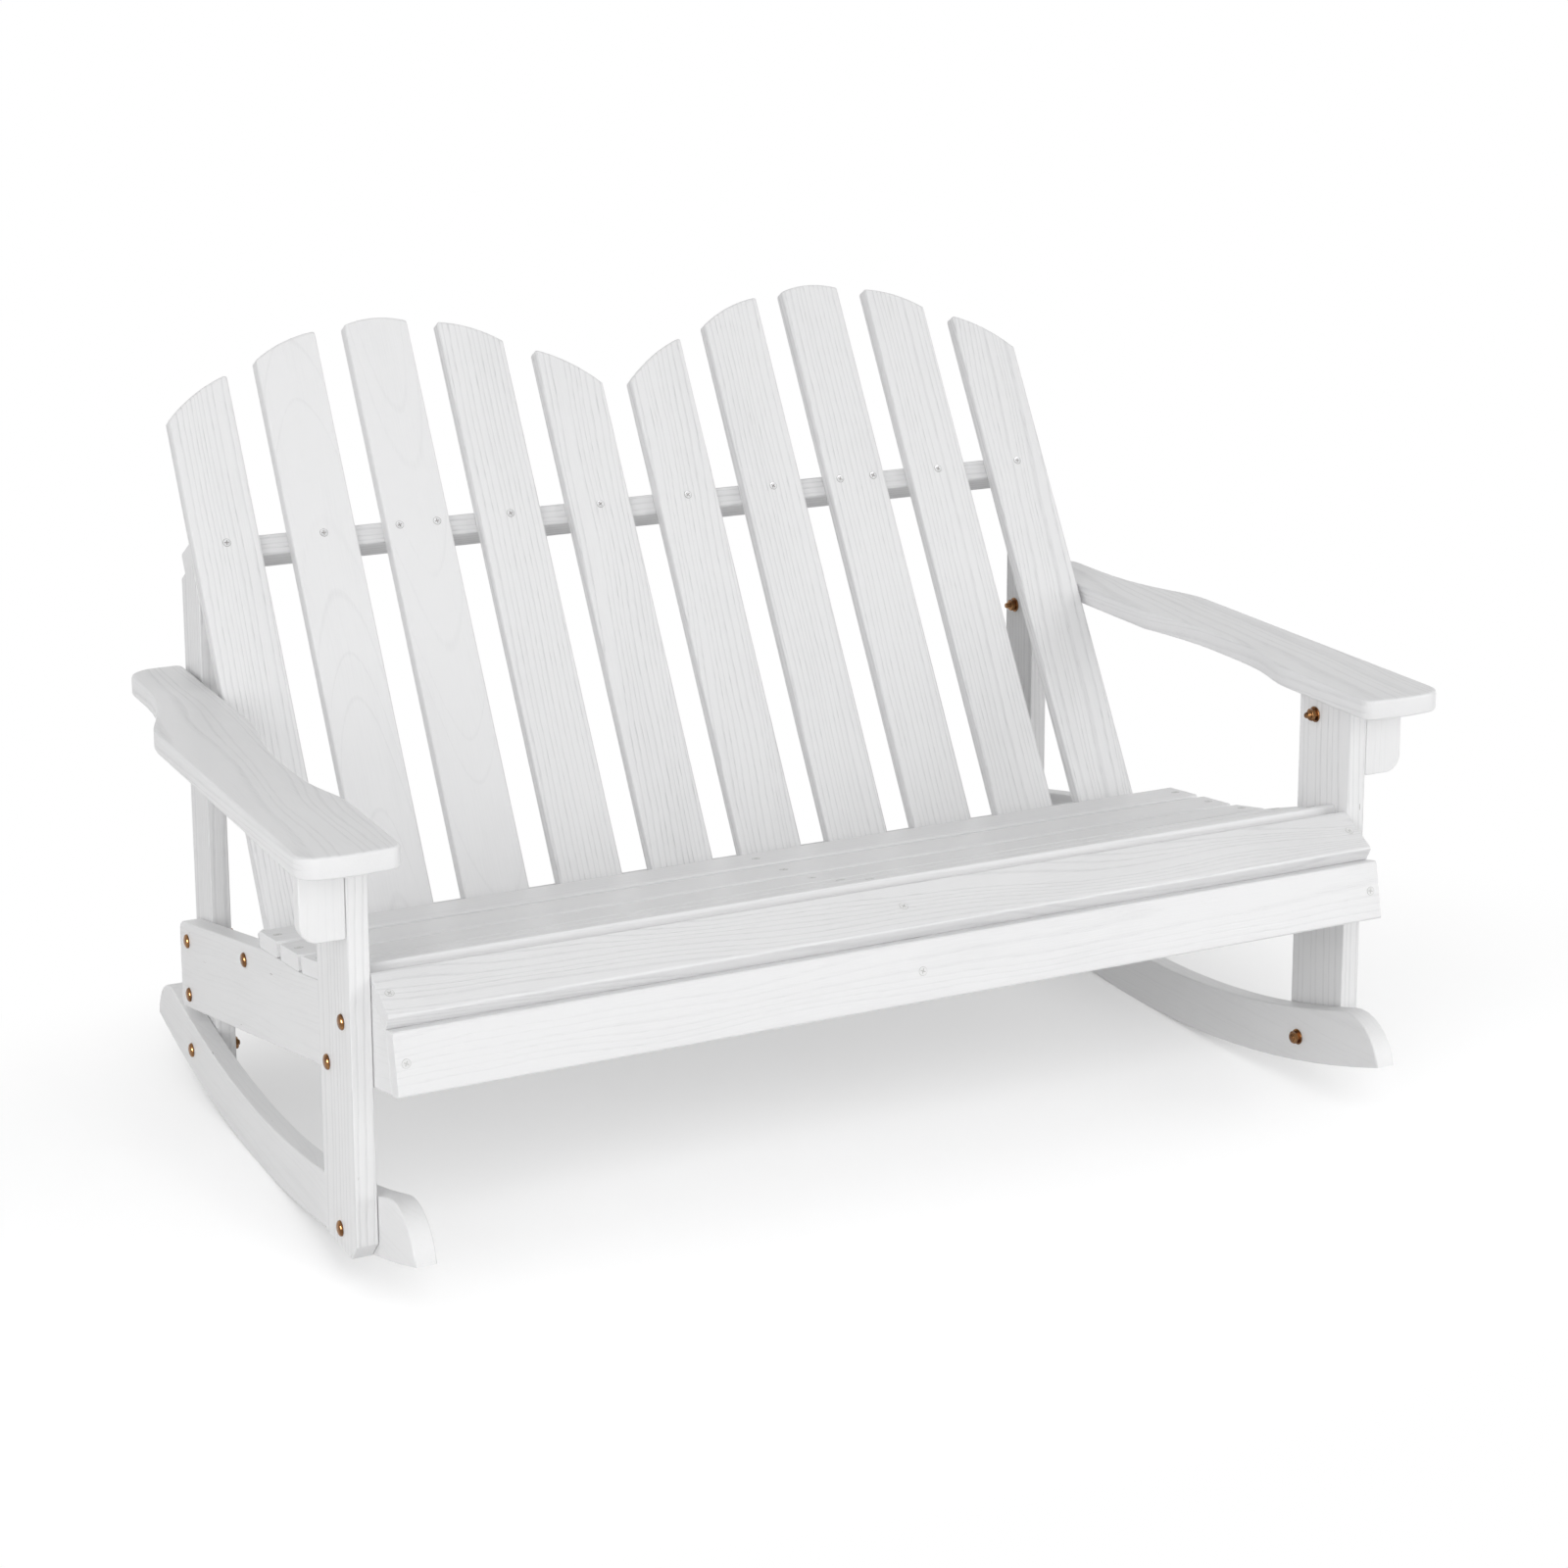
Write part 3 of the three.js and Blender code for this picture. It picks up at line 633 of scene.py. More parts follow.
class EasedEdges:
    """Smooth shading that runs round the eased edges of a board and stops at its sharp ones."""

    def __init__(self, sharp_over: float = math.radians(52), weld: float = 0.002 * MM) -> None:
        """Makes the shared node group.

        Args:
            sharp_over: edges that turn by more than this stay sharp.
            weld: corners nearer than this to each other become one.
        """
        group = bpy.data.node_groups.new("eased_edges", "GeometryNodeTree")
        group.interface.new_socket("Geometry", in_out="INPUT", socket_type="NodeSocketGeometry")
        group.interface.new_socket("Geometry", in_out="OUTPUT", socket_type="NodeSocketGeometry")
        self.group = group
        start = group.nodes.new("NodeGroupInput").outputs[0]
        bare = self._then("GeometryNodeRemoveAttribute", start, {"Name": "custom_normal"})
        welded = self._then("GeometryNodeMergeByDistance", bare, {"Distance": weld})
        smooth = self._then("GeometryNodeSetShadeSmooth", welded, {"Shade Smooth": True})
        angle = group.nodes.new("GeometryNodeInputMeshEdgeAngle").outputs["Unsigned Angle"]
        test = group.nodes.new("FunctionNodeCompare")
        test.inputs["B"].default_value = sharp_over
        group.links.new(angle, test.inputs["A"])
        edged = self._then("GeometryNodeSetShadeSmooth", smooth, {"Shade Smooth": False}, "EDGE")
        group.links.new(test.outputs[0], edged.node.inputs["Selection"])
        group.links.new(edged, group.nodes.new("NodeGroupOutput").inputs[0])

    def _then(self, kind: str, geometry: NodeSocket, inputs: dict, domain: str = "") -> NodeSocket:
        """Adds one geometry node after another.

        Args:
            kind: the node's type.
            geometry: what it works on.
            inputs: plain values by socket name.
            domain: the element that it works on, where it asks.

        Returns:
            Its geometry output.
        """
        node = self.group.nodes.new(kind)
        if domain:
            node.domain = domain
        self.group.links.new(geometry, node.inputs[0])
        for name, given in inputs.items():
            node.inputs[name].default_value = given
        return node.outputs[0]

    def apply(self, piece: Object) -> None:
        """Shades one board this way.

        Args:
            piece: the board's object.
        """
        piece.modifiers.new("eased_edges", "NODES").node_group = self.group
        weight = piece.modifiers.new("even_faces", "WEIGHTED_NORMAL")
        weight.mode = "FACE_AREA"
        weight.keep_sharp = True


@dataclass
class BoardSet:
    """Boards that share a paint."""

    paint: PaintedWood
    boards: list[Board] = field(default_factory=list)
    first_seed: float = 1.0
    seed_step: float = 2.37
    letter_step: float = 0.11
    letter_span: float = 17.0

    def _seed(self, node: str) -> float:
        """A number of its own for the next board, from its place in the set and its name."""
        spelled = self.letter_step * sum(map(ord, node)) % self.letter_span
        return self.first_seed + self.seed_step * len(self.boards) + spelled

    def add(self, node: str, grain: Vector, face: Vector, cut: Cut) -> Board:
        """Adds a board.

        Args:
            node: its CAD node.
            grain: the way its grain runs.
            face: the way its most visible face looks.
            cut: how it was sawn.

        Returns:
            The board, with a seed of its own.
        """
        board = Board(node, grain, face, cut, self._seed(node))
        self.boards.append(board)
        return board

    def dress(self, nodes: Nodes, edges: EasedEdges) -> None:
        """Paints every board of the set and softens its edges.

        Args:
            nodes: the frame's nodes.
            edges: the shared edge shading.
        """
        for board in self.boards:
            piece = nodes[board.node]
            piece.material_slots[0].material = self.paint.material(board)
            edges.apply(piece)
            log.info("%s painted, %s grain", board.node, board.cut.name.lower())


def put(name: str, data: ID) -> Object:
    """Adds an object to the scene.

    Args:
        name: its name.
        data: its mesh, lamp or camera.

    Returns:
        The object.
    """
    made = bpy.data.objects.new(name, data)
    bpy.context.scene.collection.objects.link(made)
    return made


def build_piece(name: str, fill: Callable[[BMesh], None],
                materials: Iterable[Material]) -> Object:
    """Makes an object that rides with the bench.

    Args:
        name: the piece's name.
        fill: fills the mesh.
        materials: its materials in slot order.

    Returns:
        The object.
    """
    mesh = bpy.data.meshes.new(name)
    shape = bmesh.new()
    fill(shape)
    bmesh.ops.recalc_face_normals(shape, faces=shape.faces)
    shape.to_mesh(mesh)
    shape.free()
    for material in materials:
        mesh.materials.append(material)
    mesh.set_sharp_from_angle(angle=PIECE_CREASE)
    piece = put(name, mesh)
    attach(piece, "root")
    return piece


class Turning:
    """Rings of vertices about a Z axis, skinned one after the other into a closed solid."""

    def __init__(self, shape: BMesh, place: Matrix, segments: int) -> None:
        """Starts a solid.

        Args:
            shape: the mesh that it joins.
            place: its axes in the bench's frame.
            segments: vertices per ring.
        """
        self.shape = shape
        self.place = place
        self.segments = segments
        self.rings: list[list[BMVert]] = []

    def ring(self, radius: Profile, height: Profile) -> None:
        """Adds a ring and the faces that join it to the last one.

        Args:
            radius: its radius, or one for each angle.
            height: its height, or one for each angle.
        """
        made = []
        for i in range(self.segments):
            angle = 2 * math.pi * i / self.segments
            out = radius(angle) if callable(radius) else radius
            up = height(angle) if callable(height) else height
            spot = Vector((out * math.cos(angle), out * math.sin(angle), up))
            made.append(self.shape.verts.new(self.place @ spot))
        if self.rings:
            last = self.rings[-1]
            for i in range(self.segments):
                j = (i + 1) % self.segments
                self.shape.faces.new((last[i], last[j], made[j], made[i])).smooth = True
        self.rings.append(made)

    def close(self) -> None:
        """Caps both ends."""
        self.shape.faces.new(reversed(self.rings[0]))
        self.shape.faces.new(self.rings[-1])

    def solid(self, *profile: tuple[Profile, Profile]) -> None:
        """Adds a whole solid.

        Args:
            profile: a radius and a height for each ring.
        """
        for radius, height in profile:
            self.ring(radius, height)
        self.close()


@dataclass
class CarriageBolts:
    """Quarter-inch carriage bolts with a washer and a hexagon nut, one per CAD bolt node."""

    shank: float = 6.35 * MM
    head: float = 14.3 * MM
    rim: float = 0.8 * MM
    rim_profile: Sequence[tuple[float, float]] = (
        (0.94, 0.0), (1.0, 0.18), (1.0, 0.85))  # of the head's radius and of the rim
    dome: float = 2.8 * MM
    dome_steps: int = 9
    dome_power: float = 0.9  # under 1 for a fuller dome than half an ellipse
    washer: float = 15.9 * MM
    washer_thickness: float = 1.5 * MM
    washer_edge: float = 0.22  # its rounding, of its thickness
    nut_corners: float = 12.8 * MM
    nut_thickness: float = 5.4 * MM
    nut_chamfer: float = math.radians(30)
    nut_face: float = 0.97  # the circle inside the chamfer, of the width over the flats
    nut_foot: float = 0.995  # its end at the washer, of its full size
    nut_sink: float = 0.5 * MM
    tail: float = 2.0 * MM  # how far the thread stands out of the nut
    arm_tail: float = 5.0 * MM
    pitch: float = 1.27 * MM
    groove: Sequence[tuple[float, float]] = (
        (0.0, 0.15), (0.38, 0.55), (0.0, 0.95))  # depth and place, in pitches
    long_thread: float = 0.6  # the threaded share of a hidden bolt
    segments: int = 48
    clamped: Sequence[str] = (
        "leg_front", "leg_rear", "leg_foot", "arm_front", "arm_rear",
        "post_upper", "post_lower", "post_foot")
    hidden: Sequence[str] = ("back_rail",)  # these end inside the wood, without a nut

    def _head(self, shape: BMesh, place: Matrix) -> None:
        """Domed head, with a soft edge to its thin rim.

        Args:
            shape: the mesh.
            place: where the head meets the wood, with Z out of it.
        """
        turning = Turning(shape, place, self.segments)
        radius = self.head / 2
        for out, up in self.rim_profile:
            turning.ring(out * radius, up * self.rim)
        for i in range(1, self.dome_steps):
            angle = math.pi / 2 * i / self.dome_steps
            out = radius * math.cos(angle) ** self.dome_power
            turning.ring(out, self.rim + self.dome * math.sin(angle))
        turning.close()

    def _washer(self, shape: BMesh, place: Matrix, top: float) -> None:
        """Flat washer under the nut, its stamped edge slightly rounded.

        Args:
            shape: the mesh.
            place: the bolt's place.
            top: the height of its upper side.
        """
        edge = self.washer_edge * self.washer_thickness
        low = top - self.washer_thickness
        bore, rim = self.shank / 2, self.washer / 2
        Turning(shape, place, self.segments).solid(
            (bore, top), (rim - edge, top), (rim, top - edge),
            (rim, low + edge), (rim - edge, low), (bore, low))

    def _nut(self, shape: BMesh, place: Matrix, top: float) -> None:
        """Hexagon nut with its corners chamfered off on the open side.

        Args:
            shape: the mesh.
            place: the bolt's place.
            top: the height of the side that meets the washer.
        """
        flat = self.nut_corners / 2 * math.cos(math.pi / 6)
        face = self.nut_face * flat
        bore = self.shank / 2
        slope = math.tan(self.nut_chamfer)
        low = top - self.nut_thickness

        def hexagon(angle: float) -> float:
            """Distance from the middle to the side at an angle."""
            return flat / math.cos((angle + math.pi / 6) % (math.pi / 3) - math.pi / 6)

        Turning(shape, place, self.segments).solid(
            (bore, top), (lambda a: hexagon(a) * self.nut_foot, top),
            (hexagon, lambda a: low + (hexagon(a) - face) * slope), (face, low),
            (bore + self.nut_sink, low), (bore, low + self.nut_sink))

    def _shank(self, shape: BMesh, place: Matrix, length: float, threaded: float) -> None:
        """Shank from the head inwards, with ring grooves for the thread.

        Args:
            shape: the mesh.
            place: the bolt's place.
            length: the shank's length.
            threaded: the length of its threaded end.
        """
        turning = Turning(shape, place, self.segments)
        radius = self.shank / 2
        turning.ring(radius, 0.0)
        turning.ring(radius, -(length - threaded))
        depth = 0
        while threaded - depth > 1.5 * self.pitch:
            start = -(length - threaded) - depth
            for inward, onward in self.groove:
                turning.ring(radius - inward * self.pitch, start - onward * self.pitch)
            depth += self.pitch
        turning.ring(radius - 0.5 * self.pitch, -length)
        turning.close()

    def _fill(self, shape: BMesh, place: Matrix, length: float, tail: float) -> None:
        """Fills a mesh with one bolt's solids.

        Args:
            shape: the mesh.
            place: where the head meets the wood, with Z out of it.
            length: the shank's length.
            tail: how far its end stands out of the nut, 0 for a bolt without a nut.
        """
        self._head(shape, place)
        if not tail:
            self._shank(shape, place, length, self.long_thread * length)
            return
        self._shank(shape, place, length, self.nut_thickness + tail)
        nut_top = -(length - tail - self.nut_thickness)
        self._nut(shape, place, nut_top)
        self._washer(shape, place, nut_top + self.washer_thickness)

    def build(self, finish: Material) -> list[Object]:
        """Replaces each bolt node by a finer bolt in the same place.

        Args:
            finish: the plated metal.

        Returns:
            The bolts.
        """
        pieces = []
        for side, sign in SIDES.items():
            for name in (*self.clamped, *self.hidden):
                node = f"bolt_{name}_{side}"
                low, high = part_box(node)
                middle = (low + high) / 2
                outer = high.x if sign > 0 else low.x
                seat = outer - sign * (self.rim + self.dome)
                turn = Matrix.Rotation(sign * math.pi / 2, 4, "Y")
                place = Matrix.Translation((seat, middle.y, middle.z)) @ turn
                length = high.x - low.x - self.rim - self.dome
                tail = self.arm_tail if name.startswith("arm") else self.tail
                if name in self.hidden:
                    tail = 0.0
                fill = partial(self._fill, place=place, length=length, tail=tail)
                piece = build_piece(f"carriage_bolt_{name}_{side}", fill, [finish])
                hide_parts(node)
                pieces.append(piece)
                log.info("%s stands for %s", piece.name, node)
        return pieces


@dataclass
class WoodScrews:
    """Countersunk cross-head screws, seen only by their heads. Heights are over the wood."""

    radius: float = 4.0 * MM
    lip: float = 0.32 * MM
    sunk: float = 0.05 * MM
    dish: float = 0.14 * MM
    dish_rings: Sequence[float] = (0.74, 0.64, 0.54, 0.45, 0.36, 0.27, 0.18, 0.09)
    recess: float = 0.03 * MM
    cross_width: float = 0.95 * MM
    cross_length: float = 4.9 * MM
    cross_root: float = 1.25  # its width in the middle, of its mean width
    cross_taper: float = 0.5  # what it loses towards its ends
    # painted shade: faces in this ring of the radius take the dark second finish, for the shade of
    # the gap round the head
    painted_gap_shade: tuple[float, float] = (0.95, 1.1)  # of the radius
    # painted shade: the cross's faces within this share of the radius take the dark second finish,
    # for the shade in the recess
    painted_cross_shade: float = 0.7  # its faces lie within this share of the radius
    near_wood: float = 0.5 * MM  # no face of a head is further from the wood
    segments: int = 48
    first_turn: float = 0.35  # of the cross
    turn_step: float = 1.7
    count: int = 0  # driven so far

    def _in_cross(self, spot: Vector) -> bool:
        """Whether a spot of the head lies in the cross recess.

        Args:
            spot: the spot in the head's own axes.

        Returns:
            True inside the cross, whose arms taper towards their ends.
        """
        wide, long = self.cross_width / 2, self.cross_length / 2
        near, far = sorted((abs(spot.x), abs(spot.y)))
        return near < wide * (self.cross_root - self.cross_taper * far / long) and far < long

    def _gets_painted_shade(self, spot: Vector) -> bool:
        """Whether a face of the head gets painted shade, in the gap round it or in its cross.

        Args:
            spot: the face's middle in the head's own axes.

        Returns:
            True for a face painted with shade, False for one of another head or of the bright
            metal.
        """
        out = math.hypot(spot.x, spot.y)
        inner, outer = self.painted_gap_shade
        if out > self.radius * outer or abs(spot.z) > self.near_wood:
            return False
        in_middle = out < self.radius * self.painted_cross_shade
        return out > self.radius * inner or in_middle and self._in_cross(spot)

    def _head(self, shape: BMesh, place: Matrix, turn: float) -> None:
        """One head: a raised lip, a shallow dish and a cross in its middle, with painted shade in
        the gap round it and in the cross.

        Args:
            shape: the mesh, which may hold other heads already.
            place: its middle on the wood, with Z out of it.
            turn: how far the cross is turned.
        """
        spun = place @ Matrix.Rotation(turn, 4, "Z")
        turning = Turning(shape, spun, self.segments)
        flip = spun.inverted()
        lip = self.lip
        rim = ((1.06, -self.sunk), (1.04, 0.5 * lip), (0.97, lip), (0.86, 0.8 * lip))
        for share, height in rim:
            turning.ring(self.radius * share, height)
        for share in self.dish_rings:
            turning.ring(self.radius * share, self.dish)
        turning.close()
        for vert in chain.from_iterable(turning.rings[len(rim):]):
            local = flip @ vert.co
            if self._in_cross(local):
                local.z = self.recess
                vert.co = spun @ local
        # painted shade: faces in the gap round the head and in the cross get the dark second
        # material
        for face in shape.faces:
            if self._gets_painted_shade(flip @ face.calc_center_median()):
                face.material_index = 1

    def drive(self, name: str, places: Sequence[Matrix], finishes: Sequence[Material]) -> None:
        """Drives one row of screws.

        Args:
            name: the row's name.
            places: where, with Z out of the wood.
            finishes: the metal, and the painted shade of the cross recess and of the gap round each
                head.
        """
        turns = [self.first_turn + self.turn_step * (self.count + i) for i in range(len(places))]
        self.count += len(places)

        def fill(shape: BMesh) -> None:
            """Fills a mesh with the row's heads."""
            for place, turn in zip(places, turns):
                self._head(shape, place, turn)

        build_piece(name, fill, finishes)
        log.info("%s: %d screws", name, len(places))


@dataclass
class SideFrames:
    """Rockers, legs, posts, sloping seat sides, brackets and cleats of both side frames."""

    paint: PaintedWood = SIDE_PAINT

    def dress(self, nodes: Nodes, edges: EasedEdges) -> None:
        """Paints the side frames.

        Args:
            nodes: the frame's nodes.
            edges: the shared edge shading.
        """
        boards = BoardSet(self.paint)
        for side, sign in SIDES.items():
            outward = ALONG_X * sign
            boards.add(f"rocker_{side}", ALONG_Y, outward, Cut.PLAIN)
            boards.add(f"front_leg_{side}", UPWARD, outward, Cut.WIDE_LINED)
            boards.add(f"rear_post_{side}", UPWARD, outward, Cut.STRAIGHT)
            boards.add(f"seat_side_{side}", ALONG_SIDE, outward, Cut.PLAIN)
            boards.add(f"arm_bracket_{side}", UPWARD, -ALONG_Y, Cut.PLAIN)
            boards.add(f"front_arm_cleat_{side}", ALONG_Y, outward, Cut.STRAIGHT)
            boards.add(f"rear_arm_cleat_{side}", ALONG_Y, outward, Cut.STRAIGHT)
        boards.add("seat_middle_bearer", ALONG_SIDE, ALONG_X, Cut.BROAD)
        boards.dress(nodes, edges)


@dataclass
class Seat:
    """Five seat boards, the sloping nose board and the apron, each held by three screws."""

    paint: PaintedWood = SEAT_PAINT
    front_paint: PaintedWood = TOP_PAINT
    slopes: Sequence[float] = (6.8, 6.8, 11.4, 17.6, 17.6)
    nose_slope: float = 28.6
    screw_reach: float = 495 * MM

    def seat_boards(self) -> BoardSet:
        """The five seat boards with their slopes and cuts.

        Returns:
            The set, from the rear board to the front one.
        """
        made = BoardSet(self.paint)
        cuts = (Cut.STRAIGHT, Cut.FLOWING, Cut.STRAIGHT, Cut.BROAD, Cut.STRAIGHT)
        for number, (slope, cut) in enumerate(zip(self.slopes, cuts), 1):
            made.add(f"seat_board_{number}", ALONG_X, leaning(slope), cut)
        return made

    def front_boards(self) -> BoardSet:
        """The nose board and the apron.

        Returns:
            The set.
        """
        made = BoardSet(self.front_paint)
        made.add("nose_board", ALONG_X, leaning(-self.nose_slope), Cut.FLOWING)
        made.add("apron_board", ALONG_X, APRON_FACE, Cut.BROAD)
        return made

    def dress(self, nodes: Nodes, edges: EasedEdges, screws: WoodScrews,
              metals: Sequence[Material]) -> None:
        """Paints the boards and drives their screws.

        Args:
            nodes: the frame's nodes.
            edges: the shared edge shading.
            screws: the driver of screws.
            metals: the screws' metal, and the painted shade of their cross recess and of the gap
                round each head.
        """
        reach = self.screw_reach
        for boards in (self.seat_boards(), self.front_boards()):
            boards.dress(nodes, edges)
            for board in boards.boards:
                low, high = board.extent()
                half = (high.x - low.x) / 2
                places = [board.on_face(half + x, 0.0) for x in (-reach, 0.0, reach)]
                screws.drive(f"screws_{board.node}", places, metals)


@dataclass
class Back:
    """Ten reclined slats under two arched crowns, with an upper and a lower rail behind them."""

    paint: PaintedWood = TOP_PAINT
    upper_row: float = 437.6 * MM
    lower_row: float = 28 * MM
    pair_spread: float = 20 * MM
    paired: Sequence[int] = (3, 8)  # slats with two screws in the upper row
    cuts: Sequence[Cut] = (
        Cut.STRAIGHT, Cut.ARCHED, Cut.ARCHED_DOWN, Cut.STRAIGHT, Cut.SLANTED,
        Cut.SLANTED, Cut.STRAIGHT, Cut.STRAIGHT, Cut.STRAIGHT, Cut.SLANTED)

    def dress(self, nodes: Nodes, edges: EasedEdges, screws: WoodScrews,
              metals: Sequence[Material]) -> None:
        """Paints the slats and rails and drives the slats' screws.

        Args:
            nodes: the frame's nodes.
            edges: the shared edge shading.
            screws: the driver of screws.
            metals: the screws' metal, and the painted shade of their cross recess and of the gap
                round each head.
        """
        boards = BoardSet(self.paint)
        slats = [boards.add(f"back_slat_{number:02d}", UP_THE_BACK, BACK_FACE, cut)
                 for number, cut in enumerate(self.cuts, 1)]
        boards.add("upper_back_rail", ALONG_X, BACK_FACE, Cut.STRAIGHT)
        boards.add("lower_back_rail", ALONG_X, BACK_FACE, Cut.FLOWING)
        boards.dress(nodes, edges)
        pair = (-self.pair_spread, self.pair_spread)
        upper, lower = [], []
        for number, slat in enumerate(slats, 1):
            offsets = pair if number in self.paired else (0.0,)
            upper += [slat.on_face(self.upper_row, offset) for offset in offsets]
            lower += [slat.on_face(self.lower_row, offset) for offset in pair]
        screws.drive("screws_upper_rail", upper, metals)
        screws.drive("screws_lower_rail", lower, metals)


@dataclass
class Arms:
    """Two shaped flat arms."""

    paint: PaintedWood = TOP_PAINT

    def dress(self, nodes: Nodes, edges: EasedEdges) -> None:
        """Paints the arms.

        Args:
            nodes: the frame's nodes.
            edges: the shared edge shading.
        """
        boards = BoardSet(self.paint)
        boards.add("arm_left", ALONG_Y, UPWARD, Cut.WAVY)
        boards.add("arm_right", ALONG_Y, UPWARD, Cut.WAVY)
        boards.dress(nodes, edges)


@dataclass(frozen=True)
class Softbox:
    """A square soft lamp aimed at the bench's middle."""

    name: str
    turn: float  # degrees from the bench's front towards its right
    rise: float  # degrees over the bench's middle
    size: float
    watts: float
    distance: float = 4.6
    aim: float = 0.4  # height of the bench's middle

    def build(self) -> Object:
        """Hangs the lamp.

        Returns:
            The lamp.
        """
        data = bpy.data.lights.new(self.name, "AREA")
        data.shape = "SQUARE"
        data.size = self.size
        data.energy = self.watts
        lamp = put(self.name, data)
        turn, rise = math.radians(self.turn), math.radians(self.rise)
        away = Vector((
            math.cos(rise) * math.sin(turn), -math.cos(rise) * math.cos(turn), math.sin(rise)))
        lamp.location = away * self.distance + Vector((0.0, 0.0, self.aim))
        lamp.rotation_euler = away.to_track_quat("Z", "Y").to_euler()
        return lamp

    def build_for(self, pieces: Iterable[Object]) -> None:
        """Hangs the lamp for some pieces alone, while the others still cast their shadow in it.

        Args:
            pieces: what it lights.
        """
        lamp = self.build()
        reach = bpy.data.collections.new(f"{lamp.name}_reach")
        for piece in pieces:
            reach.objects.link(piece)
        lamp.light_linking.receiver_collection = reach


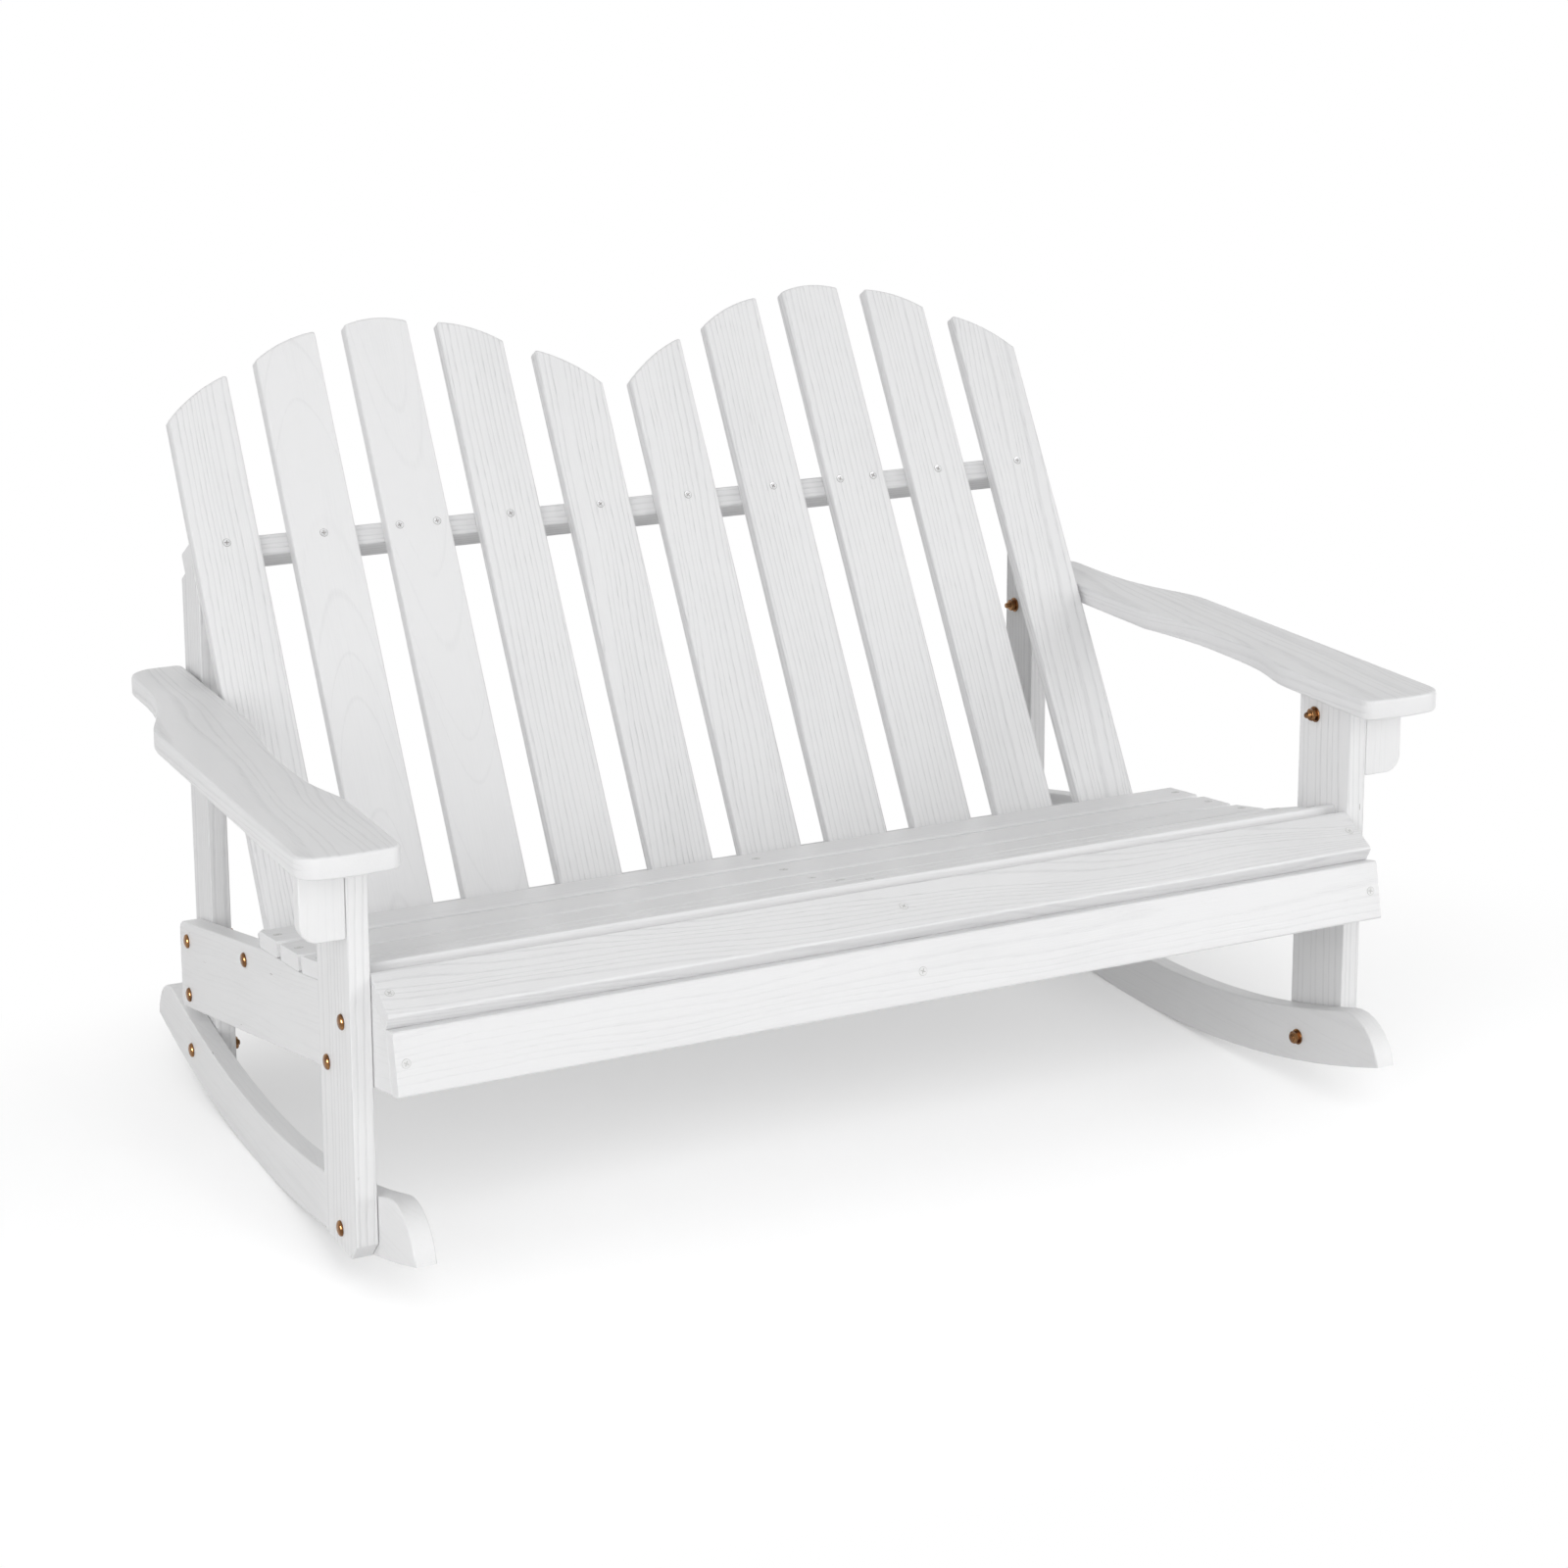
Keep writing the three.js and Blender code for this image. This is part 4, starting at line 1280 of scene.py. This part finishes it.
@dataclass
class Studio:
    """White floor and backdrop, soft lamps and the camera."""

    ambient: float = 0.56
    floor_bounce: Colour = colour(0.50, 0.50, 0.50)
    floor_seen: Colour = colour(0.68, 0.68, 0.68)
    floor_lift: float = 0.27
    floor_size: float = 60.0
    shadow_middle: tuple[float, float, float] = (0.0, -0.10, 0.0)
    shadow_reach: tuple[float, float, float] = (1.25, 0.76, 1.0)
    fade_start: float = 0.50
    fade_end: float = 1.0
    lamps: Sequence[Softbox] = (
        Softbox("high_softbox", -45.0, 45.0, 2.6, 18.0),
        Softbox("left_softbox", -45.0, 12.0, 2.6, 70.0),
        Softbox("right_softbox", 45.0, 12.0, 2.6, 62.0),
        Softbox("side_softbox", -90.0, 10.0, 0.8, 5.0),
    )
    floor_lamp: Softbox = Softbox("floor_softbox", -10.0, 25.0, 2.2, 160.0)
    glint_lamp: Softbox = Softbox("glint_softbox", -80.0, 0.0, 2.2, 450.0)
    camera_place: tuple[float, float, float] = (-1.3797, -2.8939, 1.3061)
    camera_turn: tuple[float, float, float] = (77.4, 0.0, -26.98)
    lens: float = 77.09
    shift: tuple[float, float] = (-0.0337, -0.165)
    sensor: float = 36.0
    view_reach: float = 200.0

    def _backdrop_rays(self, graph: Graph) -> Value:
        """Tells the rays that see the backdrop from those that light the bench by it.

        Args:
            graph: the floor's or the world's graph.

        Returns:
            1 for rays that see it straight, in a gloss or through glass, 0 for the others.
        """
        path = graph.node("ShaderNodeLightPath")
        seen = Value(graph, path.outputs["Is Camera Ray"])
        for name in ("Is Glossy Ray", "Is Transmission Ray"):
            seen = seen.largest(Value(graph, path.outputs[name]))
        return seen

    def _floor(self) -> Object:
        """A wide pale floor that catches the bench's shadow and fades to white around it.

        Returns:
            The floor.
        """
        made = bpy.data.materials.new("studio_floor")
        graph = Graph(made)
        seen = self._backdrop_rays(graph)
        matt = graph.node("ShaderNodeBsdfDiffuse", {}, {
            "Color": graph.blend(seen, self.floor_bounce, self.floor_seen),
        })
        raised = colour(*[self.floor_lift] * 3)
        lift = graph.node("ShaderNodeEmission", {}, {
            "Color": graph.blend(seen, colour(0, 0, 0), raised),
        })
        near = graph.node("ShaderNodeAddShader", {}, {0: matt.outputs[0], 1: lift.outputs[0]})
        white = graph.node("ShaderNodeEmission", {}, {"Color": colour(1, 1, 1), "Strength": 1.0})
        near_bench = graph.node("ShaderNodeMapping", {"vector_type": "TEXTURE"}, {
            "Vector": graph.node("ShaderNodeTexCoord").outputs["Object"],
            "Location": self.shadow_middle,
            "Scale": self.shadow_reach,
        })
        reach = graph.value("ShaderNodeVectorMath", {"operation": "LENGTH"}, {
            0: near_bench.outputs[0],
        }, "Value")
        away = graph.value("ShaderNodeMapRange", {"interpolation_type": "SMOOTHSTEP"}, {
            "Value": reach, "From Min": self.fade_start, "From Max": self.fade_end,
        })
        both = graph.node("ShaderNodeMixShader", {}, {
            "Fac": away * seen, 1: near.outputs[0], 2: white.outputs[0],
        })
        graph.node("ShaderNodeOutputMaterial", {}, {"Surface": both.outputs[0]})
        shape = bmesh.new()
        bmesh.ops.create_grid(shape, x_segments=1, y_segments=1, size=self.floor_size / 2)
        mesh = bpy.data.meshes.new("studio_floor")
        shape.to_mesh(mesh)
        shape.free()
        mesh.materials.append(made)
        floor = put("studio_floor", mesh)
        return floor

    def _world(self) -> None:
        """White to the eye, a plain ambient level to the bench."""
        world = bpy.data.worlds.new("studio")
        bpy.context.scene.world = world
        graph = Graph(world)
        seen = self._backdrop_rays(graph)
        strength = self.ambient + seen * (1.0 - self.ambient)
        sky = graph.node("ShaderNodeBackground", {}, {
            "Color": colour(1, 1, 1), "Strength": strength,
        })
        graph.node("ShaderNodeOutputWorld", {}, {"Surface": sky.outputs[0]})

    def glint(self, pieces: Iterable[Object]) -> None:
        """Puts the glint of a lamp at the bench's left on the bolts."""
        self.glint_lamp.build_for(pieces)

    def _camera(self) -> None:
        """The photograph's viewpoint."""
        data = bpy.data.cameras.new("camera")
        data.lens = self.lens
        data.sensor_width = self.sensor
        data.shift_x, data.shift_y = self.shift
        data.clip_end = self.view_reach
        camera = put("camera", data)
        camera.location = self.camera_place
        camera.rotation_euler = tuple(math.radians(a) for a in self.camera_turn)
        bpy.context.scene.camera = camera

    def build(self) -> None:
        """Sets up the stage."""
        bpy.context.scene.view_settings.view_transform = "Standard"
        self._camera()
        floor = self._floor()
        self._world()
        for lamp in self.lamps:
            lamp.build()
        self.floor_lamp.build_for([floor])
        log.info("studio ready")


def corners(bounds: tuple[Vector, Vector]) -> list[list[float]]:
    """The two corners of a box as plain lists."""
    return [list(map(float, corner)) for corner in bounds]


def main() -> None:
    """Loads the frame, dresses every sub-assembly and sets up the studio."""
    logging.basicConfig(level=logging.INFO, format="%(name)s: %(message)s")
    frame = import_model()
    nodes = frame["nodes"]
    studio = Studio()
    studio.build()
    edges = EasedEdges()
    # each pair is a screw head's finish, then the painted shade of its cross and of the gap round
    # it
    metals = (BRIGHT_ZINC.material(), SCREW_PAINTED_SHADE.material())
    painted_over = (PAINTED_ZINC.material(), FILLED_SCREW_PAINTED_SHADE.material())
    screws = WoodScrews()
    SideFrames().dress(nodes, edges)
    Seat().dress(nodes, edges, screws, painted_over)
    Back().dress(nodes, edges, screws, metals)
    Arms().dress(nodes, edges)
    studio.glint(CarriageBolts().build(YELLOW_ZINC.material()))


if __name__ == "__main__":
    main()
